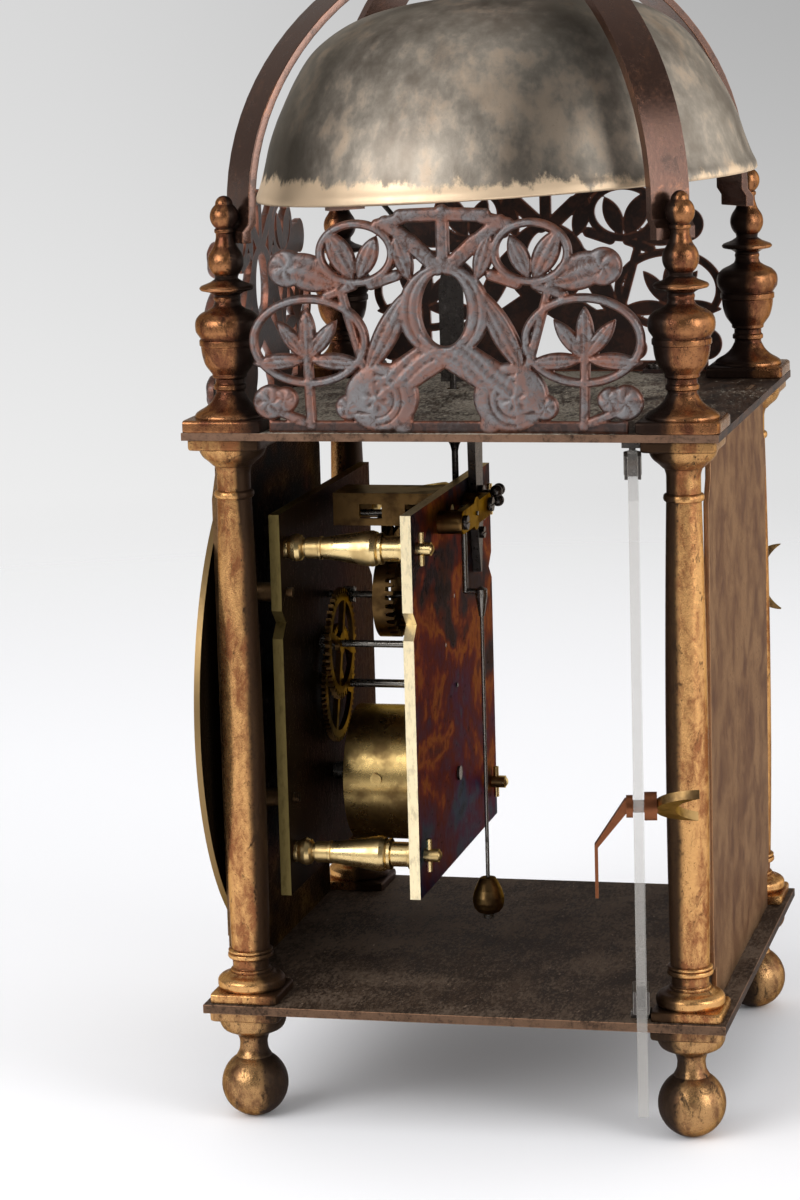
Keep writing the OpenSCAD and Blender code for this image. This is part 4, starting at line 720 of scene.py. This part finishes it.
def bell_shape(radius, height, wall, crown, lean, pivot_z, hole):
    """Spun wall between the outer line and its copy moved inwards, then leaned about the stud."""
    share = [[1, 0.012], [0.996, 0.04], [0.981, 0.085], [0.958, 0.175], [0.933, 0.29], [0.905, 0.385],
             [0.876, 0.466], [0.812, 0.621], [0.742, 0.748], [0.66, 0.835], [0.562, 0.903], [0.445, 0.951],
             [0.292, 0.983], [0.13, 0.998], [hole / radius, 1]]
    outer = through(share, 110) * [radius, height]
    along = np.gradient(outer, axis=0)
    inward = np.stack([-along[:, 1], along[:, 0]], 1) / np.linalg.norm(along, axis=1)[:, None]
    inner = outer + inward * wall
    inner[-1] = [hole, height - wall]
    lip = through([outer[0], [radius - 0.3, 0.12], [radius - wall / 2, 0], [radius - wall + 0.2, 0.15], inner[0]], 14)
    line = np.concatenate([outer[::-1], lip[1:-1], inner, outer[-1:]])
    line[:, 1] += crown - height
    points, faces, numbers = turned(line, (0, 0), 144)
    angle = np.arctan2(points[:, 1], points[:, 0])
    wave = 0.10 * np.cos(3 * angle + points[:, 2] * 0.05) + 0.06 * np.cos(7 * angle - points[:, 2] * 0.11)
    size = np.hypot(points[:, 0], points[:, 1])
    points[:, :2] *= (1 + (wave - 0.16) * np.clip(size / radius, 0, 1) / np.maximum(size, 1))[:, None]
    c, s = math.cos(math.radians(lean)), math.sin(math.radians(lean))
    y, z = points[:, 1].copy(), points[:, 2] - pivot_z
    points[:, 1], points[:, 2] = y * c - z * s, y * s + z * c + pivot_z
    return points, faces, numbers


strap_thickness = 2.2
strap_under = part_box("bell_strap_lower")[1][2] / MM - strap_thickness
put("cast_bell", bell_shape(radius=68.5, height=51.5, wall=2.2, crown=strap_under - 13.6, lean=2.6,
                            pivot_z=strap_under - 5, hole=2.36), bell_metal, ["bell"], 50)
print("bell hangs under", round(strap_under, 1), "mm")

# %% [markdown]
# ## Pierced frets
# Crossed dolphins under an oval, with leafy scrolls at the sides, were cast flat, pierced with a saw and
# chased with punches. A cut-out shape is easiest as a distance field: for every point of a fine grid, how
# far is it from each limb, leaf and ring? The smallest answer is the distance to the whole drawing, and
# where it is negative there is metal. The same distances say how the chaser rounded each part.

# %% Distances to the parts of the drawing
def to_circle(p, centre, r):
    """Distance from the centre, less the radius."""
    return np.hypot(*(p - centre).T) - r


def to_limb(p, a, b, width):
    """Distance from the nearest point of the segment a-b, less half the width."""
    a, run = np.array(a, float), np.subtract(b, a)
    share = np.clip((p - a) @ run / (run @ run), 0, 1)[:, None]
    return np.hypot(*(p - a - share * run).T) - width / 2


def leaf_frame(p, root, turn):
    """Coordinates along and across a leaf that starts at root and points to turn degrees."""
    c, s = math.cos(math.radians(turn)), math.sin(math.radians(turn))
    return (p - root) @ np.array([[c, -s], [s, c]])


def to_leaf(p, root, turn, length, width):
    """A leaf is where two circles overlap, so its distance is the larger of the two."""
    bend = (length ** 2 + width ** 2) / (4 * width)
    q = leaf_frame(p, root, turn) - [length / 2, 0]
    shift = [0, bend - width / 2]
    return np.maximum(np.hypot(*(q - shift).T), np.hypot(*(q + shift).T)) - bend


def to_oval(p, centre, a, b):
    """Distance to an ellipse, to first order: k1 (k1 - 1) / k2, with k1 = |q/ab| and k2 = |q/ab^2|."""
    q = np.abs(p - centre) + 1e-6
    k1, k2 = np.hypot(*(q / [a, b]).T), np.hypot(*(q / [a * a, b * b]).T)
    return k1 * (k1 - 1) / k2


def to_ring(p, centre, a, b, stroke):
    """Inside the ellipse and outside a smaller one: the larger of the two distances."""
    return np.maximum(to_oval(p, centre, a, b), -to_oval(p, centre, a - stroke, b - stroke))


ends_of_leaf = np.array([[0.0, 0.0], [10.0, 0.0]])
print("both ends of a leaf lie on its outline:", np.round(to_leaf(ends_of_leaf, (0, 0), 0, 10, 4), 3))

# %% [markdown]
# ## Drawing and chasing
# Each part of the drawing is listed once, with the way it was chased: limbs and fish are round, so their
# height is that of a circle's arc; leaves have a sunk midrib and slanting veins; rings keep a raised rim.
# The left half is the right half with the sign of x taken away, which mirrors it exactly.

# %% Fret drawing
leaves_of_fret = [((36.5, 19), t, l, w) for t, l, w in ((90, 13.6, 4.6), (128, 13, 4.2), (52, 13, 4.2),
                                                        (184, 15, 4.4), (-4, 15, 4.4))]
leaves_of_fret += [((23.5, 39.5), 62, 14.4, 6.6), ((22.5, 39.5), 114, 12.4, 5.2), ((27.5, 38.5), 20, 17.6, 9.4),
                   ((21.5, 14), 118, 27, 6.4), ((8.6, 39), 72, 13, 5)]
limbs_of_fret = [((11, 8), (11.5, 2), 5), ((36.5, 20), (36, 2), 2.6), ((38, 3), (46, 6), 2.6),
                 ((27.8, 38.6), (21, 15), 2.4), ((1.4, 42.6), (8.6, 49.2), 4.2), ((8.6, 49.2), (15, 54.2), 3.6),
                 ((0, 56.2), (11, 55.8), 3.6),
                 ((10.5, 55.2), (17, 53.6), 3.2), ((12.5, 40.6), (19, 38.4), 3), ((24, 38), (31, 35.5), 2.6)]
bosses_of_fret = [((26, 6.6), 3.4), ((41.5, 42.6), 4.9), ((46.8, 7.9), 4.6), ((42.8, 8.6), 3.4)]
head_of_fish, head_size = (17, 9.3), (9.8, 8.9)
rings_of_fret = [((36, 23.8), 16, 12, 2.3), ((22.9, 46.4), 10.6, 8.6, 2.2)]
stem, loop, loop_hole = ((0, 43), (0, 57), 3.4), ((0, 31.4), 12, 12.3), ((0, 31.8), 6.1, 9.4)
fish_body, fish_eye = ((-3, 24), (15.5, 12), 9), (18.2, 8.8)
fish_along, fish_across = (0.839, -0.544), (0.544, 0.839)
strip_end, strip_top = 47.3, 3.1


def fret_distance(p):
    """Negative inside the metal: the least of all parts' distances, with the oval cut out of the fish."""
    m = np.stack([np.abs(p[:, 0]), p[:, 1]], 1)
    strip = np.maximum(np.maximum(m[:, 0] - strip_end, m[:, 1] - strip_top), -m[:, 1])
    fish = np.minimum(to_oval(m, *loop), np.minimum(to_limb(p, *fish_body), to_limb(p * [-1, 1], *fish_body)))
    fish = np.maximum(fish, -to_oval(m, *loop_hole))
    parts = [strip, fish, to_limb(m, *stem), to_oval(m, head_of_fish, *head_size)]
    parts += [to_leaf(m, *leaf) for leaf in leaves_of_fret] + [to_limb(m, *limb) for limb in limbs_of_fret]
    parts += [to_circle(m, *boss) for boss in bosses_of_fret] + [to_ring(m, *ring) for ring in rings_of_fret]
    return np.minimum.reduce(parts)


def arc(distance, half):
    """Height of a half-round bar: sqrt(1 - (1 + d/half)^2), where d runs from 0 at the edge to -half."""
    return np.sqrt(np.clip(1 - (1 + np.clip(distance / half, -1, 0)) ** 2, 0, 1))


def swell(value, width):
    """A smooth bump that is 1 where the value is 0 and fades over the width: exp(-(value / width)^2)."""
    return np.exp(-(value / width) ** 2)


def fret_relief(p):
    """Chased height in millimetres above the flat of the fret: the highest of all the parts."""
    m = np.stack([np.abs(p[:, 0]), p[:, 1]], 1)
    high = [0.45 * arc(to_limb(m, *limb), limb[2] / 2) for limb in limbs_of_fret + [stem]]
    for root, turn, length, width in leaves_of_fret:
        along, across = leaf_frame(m, root, turn).T
        d = to_leaf(m, root, turn, length, width)
        share = across / np.maximum(np.abs(across) - d, 0.2)
        veins = 0.10 * np.cos(share * 3 * np.pi) * np.clip(along / 3, 0, 1)
        high.append(np.where(d < 0, (0.35 + 0.35 * along / length) * arc(d, width / 2) ** 0.8 + veins, 0))
    for sign, depth in ((1, 1.05), (-1, 0.85)):
        body = p * [sign, 1]
        line = to_limb(body, *fish_body)
        along = body @ fish_along
        bend = (body - fish_body[0]) @ fish_across + 0.9 * np.sin(along * 0.25)
        ribs = 0.15 * np.cos(bend * 2 * np.pi / 2.9) + 0.03 * np.cos(along * 2 * np.pi / 1.7)
        high.append(np.where(line < 0, depth * arc(line, 4.5) + ribs * np.clip(-line, 0, 1), 0))
    from_eye = to_circle(m, fish_eye, 0)
    head = to_oval(m, head_of_fish, *head_size)
    spoke = np.arctan2(*(m - fish_eye).T[::-1])
    gills = sum(0.34 * swell(from_eye - r, 0.5) for r in (4.6, 6.6)) * (m[:, 0] < 18.5)
    mouth = 0.5 * swell(m[:, 1] - 5.2 - 0.12 * (m[:, 0] - 20), 0.5) * np.clip((m[:, 0] - 19) / 3, 0, 1)
    rosette = 0.22 * np.cos(5 * spoke) * swell(from_eye - 2.4, 1.2) + 0.4 * swell(from_eye, 1.0)
    high.append(np.where(head < 0, 0.95 * arc(head, 5) - gills - mouth + rosette, 0))
    for centre, r in bosses_of_fret:
        d, curl = to_circle(m, centre, r), np.arctan2(*(m - centre).T[::-1])
        petals = 0.14 * np.cos(5 * curl + np.hypot(*(m - centre).T) * 0.9)
        high.append(np.where(d < 0, 0.7 * arc(d, r * 0.8) + petals * np.clip(-d, 0, 1), 0))
    for centre, a, b, stroke in rings_of_fret:
        high.append(0.6 * arc(to_ring(m, centre, a, b, stroke), stroke / 2))
    oval = np.maximum(to_oval(m, *loop), -to_oval(m, *loop_hole))
    high.append(0.85 * arc(oval, 2.6) - 0.3 * swell(to_oval(m, (0, 31.6), 9.2, 10.9), 0.5))
    return np.maximum.reduce(high)


trial = np.array([[0.0, 1.0], [0.0, 31.8], [17.6, 9.0]])
print("distance at strip, oval hole and dolphin's head:", np.round(fret_distance(trial), 2))

# %% [markdown]
# ## From the field to a plate
# Cells of the grid whose middle is metal are kept. Their outer vertices slide along the field's slope
# onto the zero line, so a staircase becomes a smooth saw cut. The kept cells make the front, the same
# cells the back, and every edge with only one kept neighbour gets a wall.

# %% Frets
def cut_plate(cell):
    """Front, back and walls of the fret as ((u, v, depth) points, quads, numbers). depth 0 is the flat face."""
    half_width, height, thickness = 53.2, 60.5, 1.8
    across, up = np.arange(-half_width, half_width + cell, cell), np.arange(-cell, height + cell, cell)
    grid = np.stack(np.meshgrid(across, up, indexing="ij"), -1)
    rows, columns = grid.shape[:2]
    points = grid.reshape(-1, 2).copy()
    middles = (grid[:-1, :-1] + cell / 2).reshape(-1, 2)
    kept = (fret_distance(middles) < 0).reshape(rows - 1, columns - 1)
    around = np.zeros((rows, columns), int)
    for i, j in ((0, 0), (1, 0), (0, 1), (1, 1)):
        around[i:rows - 1 + i, j:columns - 1 + j] += kept
    edge = ((around > 0) & (around < 4)).ravel()
    for _ in range(3):
        here = points[edge]
        d = fret_distance(here)
        slope = np.stack([fret_distance(here + [0.02, 0]) - d, fret_distance(here + [0, 0.02]) - d], 1) / 0.02
        move = -d[:, None] * slope / np.maximum((slope ** 2).sum(1), 0.3)[:, None]
        points[edge] = here + np.clip(move, -0.5 * cell, 0.5 * cell)
    inside = np.clip(-fret_distance(points), 0, 9)
    high = fret_relief(points) * np.clip(inside / 0.5, 0, 1)
    near = high.reshape(rows, columns)
    for _ in range(round(2.4 / cell)):
        near = sum((np.roll(near, shift, axis) for axis in (0, 1) for shift in (1, -1)), near) / 5
    # ridge is how far the relief stands above its neighbourhood; the fret's finish paints shade and highlight with it.
    ridge = (high - near.ravel()) * np.clip(inside / 1.2, 0, 1)
    round_over = 0.5 * (1 - np.sqrt(np.clip(1 - (1 - np.clip(inside / 0.8, 0, 1)) ** 2, 0, 1)))
    number = np.full(rows * columns, -1)
    used = np.flatnonzero(around.ravel() > 0)
    number[used] = np.arange(len(used))
    cells = np.flatnonzero(kept.ravel())
    i, j = cells // (columns - 1), cells % (columns - 1)
    low = i * columns + j
    front = number[np.stack([low, low + columns, low + columns + 1, low + 1], 1)]
    sides = np.concatenate([front[:, [a, (a + 1) % 4]] for a in range(4)])
    pair = np.sort(sides, 1) @ [len(used), 1]
    _, first, count = np.unique(pair, return_index=True, return_counts=True)
    rim = sides[first[count == 1]]
    back = len(used)
    walls = np.stack([rim[:, 1], rim[:, 0], rim[:, 0] + back, rim[:, 1] + back], 1)
    faces = np.concatenate([front, front[:, ::-1] + back, walls])
    flat = points[used]
    face_of = np.column_stack([flat, (high - round_over)[used]])
    back_of = np.column_stack([flat, np.full(len(used), -thickness)])
    none = np.zeros(len(used))
    # high is -0.6 on the back, so the finish paints the back black as shade.
    numbers = {"inside": np.tile(inside[used], 2), "high": np.concatenate([high[used], none - 0.6]),
               "ridge": np.concatenate([ridge[used], none])}
    return np.concatenate([face_of, back_of]), faces, numbers


def lug(u):
    """Small foot behind the fret for its screw: a block 6 wide, 6.5 deep and 1.2 high."""
    corner = np.array([[a, b, c] for a in (u - 3, u + 3) for b in (0, 1.2) for c in (-7.8, -1.5)], float)
    sides = np.array([[0, 1, 3, 2], [4, 6, 7, 5], [0, 4, 5, 1], [2, 3, 7, 6], [0, 2, 6, 4], [1, 5, 7, 3]])
    return corner, sides, {"inside": np.ones(8), "high": np.zeros(8), "ridge": np.zeros(8)}


def stood(shape, turn, face):
    """Stands the flat fret up: u goes along Y, v up, depth out along X, then it is turned about Z."""
    (u, v, depth), c, s = shape[0].T, math.cos(math.radians(turn)), math.sin(math.radians(turn))
    x = face + depth
    return np.stack([x * c - u * s, x * s + u * c, top_z + v], 1), shape[1], shape[2]


fret_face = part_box("fret_right")[1][0] / MM
screw_at = 32
fret_shape = joined(cut_plate(0.4), lug(-screw_at), lug(screw_at))
for node, turn in (("fret_right", 0), ("fret_front", -90), ("fret_left", 180)):
    put("chased_" + node, stood(fret_shape, turn, fret_face), fret_brass, [node], 42)
print("each fret:", len(fret_shape[0]), "points,", len(fret_shape[1]), "quads")

# %% [markdown]
# ## Soft edges for flat work
# Plates, straps, latches and wheels already have the right shape, but metal that has been filed and
# polished has no razor edge. A copy of the node's mesh is merged, its coplanar triangles dissolved, and
# its hard edges bevelled. The new narrow faces carry a 1, which tells a finish where hands wear it
# bright. Weighted normals keep the broad faces looking flat next to the small round ones.

# %% Filing the edges
def filed(node, finish, width, angle=38, crease=50):
    """Copy of a CAD node with its edges rounded by width millimetres, wearing the finish."""
    source = frame["nodes"][node].data
    mesh = bpy.data.meshes.new("filed_" + node)
    work = bmesh.new()
    work.from_mesh(source)
    bmesh.ops.remove_doubles(work, verts=work.verts, dist=2e-6)
    bmesh.ops.dissolve_limit(work, angle_limit=math.radians(0.7), verts=work.verts, edges=work.edges)
    layer = work.faces.layers.float.new("proud")
    hard = [e for e in work.edges if len(e.link_faces) == 2 and e.calc_face_angle(0) > math.radians(angle)
            and e.calc_length() > width * MM * 0.3]
    made = bmesh.ops.bevel(work, geom=hard, offset=width * MM, offset_type="OFFSET", segments=2, profile=0.5,
                           affect="EDGES", clamp_overlap=True)
    for face in made["faces"]:
        face[layer] = 1.0
    bmesh.ops.triangulate(work, faces=[f for f in work.faces if len(f.verts) > 4])
    work.to_mesh(mesh)
    work.free()
    piece = finished("filed_" + node, mesh, finish, [node], crease)
    weights = piece.modifiers.new("flat faces stay flat", "WEIGHTED_NORMAL")
    weights.keep_sharp = True
    return piece


filing = [("base_plate", base_plate_brass, 0.35), ("top_plate", top_plate_brass, 0.35),
          ("dial_plate", dial_brass_painted_shade, 0.25), ("case_back", case_brass, 0.25),
          ("bell_strap_lower bell_strap_upper", strap_skin, 0.5),
          ("bell_stud bell_nut", dark_steel, 0.3), ("chapter_ring", ring_finish, 0.12),
          ("hour_hand minute_hand", dark_steel, 0.2), ("movement_front", front_plate_brass_painted_shade, 0.15),
          ("movement_back", back_plate_brass, 0.2), ("potences back_cock", wheel_brass, 0.2),
          ("hammer_bracket", dark_steel, 0.2), ("hammer", dark_steel, 0.15),
          ("latch_right latch_left", latch_copper, 0.25), ("crescent_right crescent_left", crescent_brass, 0.25),
          ("door_clips_right door_clips_left", dark_steel, 0.12), ("hinge_lugs", dark_steel, 0.25),
          ("screws", dark_steel, 0.12)]
filed_nodes = [(node, finish, width) for nodes, finish, width in filing for node in nodes.split()]
for node, finish, width in filed_nodes:
    filed(node, finish, width)
print(len(filed_nodes), "pieces filed")

# %% [markdown]
# ## What needs only a finish
# The rest of the movement could be filed too, but rounding would spoil its exact teeth and pivots, and at
# their size no one sees an edge. Its nodes are shown as they are and only get a material.

# %% Finishes for the nodes that stay
as_packed = [("barrel", barrel_brass), ("bob", crescent_brass), ("movement_pillars", pillar_brass), ("numerals", wax),
             ("centre_wheel third_wheel contrate_wheel crown_wheel minute_wheel hour_wheel", wheel_brass),
             ("barrel_arbor ratchet_wheel click centre_arbor third_arbor contrate_arbor", bright_steel),
             ("cannon_pinion verge pendulum_rod", bright_steel), ("door_glass_right door_glass_left", glass)]
finish_of_node = {node: finish for nodes, finish in as_packed for node in nodes.split()}
for node, finish in finish_of_node.items():
    mesh = frame["nodes"][node].data
    mesh.materials.clear()
    mesh.materials.append(finish)
shaped = ("column", "feet", "finial", "fret", "top", "bell")
unfinished = sorted(set(frame["nodes"]) - set(finish_of_node) - {node for node, *_ in filed_nodes}
                    - {node for node in frame["nodes"] if node.split("_")[0] in shaped})
print("nodes without a finish:", unfinished)

# %% [markdown]
# ## Floor and backdrop
# A clock is photographed on a pale sweep of paper that grows greyer away from the lamps. Only the patch of
# floor around the feet has to catch shadow. Past it the floor fades out, and the world shows the rest of
# the sweep: pale low down and to the left, greyer above and to the right.

# %% Floor
def paper():
    """Pale floor that fades out with distance, so that it has no edge."""
    f = Finish("paper")
    x, y = f.axis(f.at(), "X"), f.axis(f.at(), "Y")
    gone = f.step((x * x + y * y) ** 0.5, 420, 1150)
    sheet = f.node("BsdfPrincipled", {}, {"Base Color": (0.90, 0.90, 0.92, 1), "Roughness": 0.8,
                                         "Specular IOR Level": 0.1})
    clear = f.node("BsdfTransparent", {}, {})
    both = f.node("MixShader", {}, {0: gone, 1: sheet, 2: clear})
    f.show(both)
    return f.material


rings, around, reach, just_under = 7, 96, 1.2, -0.0001
angle = 2 * np.pi * np.arange(around) / around
radius = np.linspace(0, reach, rings)[:, None]
disc = np.stack([radius * np.cos(angle), radius * np.sin(angle), np.full((rings, around), just_under)], -1)
floor_mesh = bpy.data.meshes.new("floor")
floor_mesh.from_pydata(disc.reshape(-1, 3).tolist(), [], quads(rings, around).tolist())
floor_mesh.materials.append(paper())
floor = add_to_scene("floor", floor_mesh)
print("floor of", len(floor_mesh.polygons), "faces")

# %% [markdown]
# ## Lamps and world
# Metal looks like what it reflects. It could be lit by a picture of a studio wrapped round the scene; here
# the world is worked out from the direction of each ray instead. Metal sees a dark room behind the camera,
# a paler far side, the bright paper low down and one white card on the right, which draws the long
# highlight down each column. Dull surfaces are lit by an even grey. Three soft lamps, a large one from the
# dial side, one from behind and a weak one overhead, make the shadow and keep the floor just under white.

# %% Lamps and world
def soft_lamp(name, toward, distance, size, watts, aim=(0, 0, 0.17)):
    """Rectangular lamp at distance metres along a direction, turned to face the aim point."""
    lamp = bpy.data.lights.new(name, "AREA")
    lamp.shape, lamp.size, lamp.size_y, lamp.energy = "RECTANGLE", size[0], size[1], watts
    away = np.array(toward, float) / np.linalg.norm(toward)
    side = np.cross([0, 0, 1.0], away)
    side = side / np.linalg.norm(side)
    turn = np.eye(4)
    turn[:3, :3] = np.stack([side, np.cross(away, side), away], 1)
    turn[:3, 3] = np.array(aim) + away * distance
    add_to_scene(name, lamp).matrix_world = Matrix(turn.tolist())


soft_lamp("window lamp", (0.80, -0.60, 0.42), 1.30, (0.9, 0.7), 10.0)
soft_lamp("side lamp", (0.42, 0.88, 0.34), 1.25, (0.5, 0.9), 5.5)
soft_lamp("overhead lamp", (0.3, -0.2, 1.0), 1.5, (1.3, 1.3), 3.0)

world = bpy.data.worlds.new("studio")
bpy.context.scene.world = world
room = Nodes(world, "ShaderNodeOutputWorld")
looking = room.node("TexCoord", {}, {}, "Generated")
east, north, up = (room.axis(looking, a) for a in "XYZ")
right_in_plan = (-0.237, 0.9715)
to_right = east * right_in_plan[0] + north * right_in_plan[1]
low = 1 - room.step(up, -0.22, 0.02)
greyer = room.step(to_right, -0.13, 0.13)
backdrop = 0.69 - greyer * 0.27 + low * (greyer * 0.19 + 0.21)
far_side = room.step(east * -1, -0.15, 0.75)
sweep = 1 - room.step(up, -0.16, 0.16)
card = room.step(to_right, 0.55, 0.85) * (1 - room.step(room.size_of(up - 0.22), 0.18, 0.36))
reflected = 0.06 + far_side * 0.40 + sweep * (0.46 + room.step(to_right, 0.1, 0.6) * 0.30) + card * 1.3
seen = room.node("LightPath", {}, {}, "Is Camera Ray")
soft = room.node("LightPath", {}, {}, "Is Diffuse Ray")
reflected = reflected + (0.80 - reflected) * soft
shown = reflected + (backdrop - reflected) * seen
room.show(room.node("Background", {}, {"Color": shown, "Strength": 1.0}))

# %% [markdown]
# ## Camera
# The photograph was taken with a long lens, from a little over a metre away, ten degrees above level and
# slightly behind the right-hand side. The three axes are written out because a camera is only a matrix:
# its columns are where right, up and backward point, then where it stands.

# %% Camera and view
lens = bpy.data.cameras.new("camera")
lens.lens, lens.sensor_width, lens.sensor_fit = 107.41, 36.0, "AUTO"
lens.clip_start, lens.clip_end = 0.05, 100
right, down = np.array([-0.2322726, 0.9722612, -0.0275236]), np.array([0.1784482, 0.0147798, -0.9838383])
stands, ahead = np.array([0.960049, 0.204030, 0.309416]), np.cross(right, down)
pose = np.eye(4)
pose[:3, :4] = np.stack([right, -down, -ahead, stands], 1)
camera = add_to_scene("camera", lens)
camera.matrix_world = Matrix(pose.tolist())
bpy.context.scene.camera = camera
bpy.context.scene.view_settings.view_transform = "Standard"
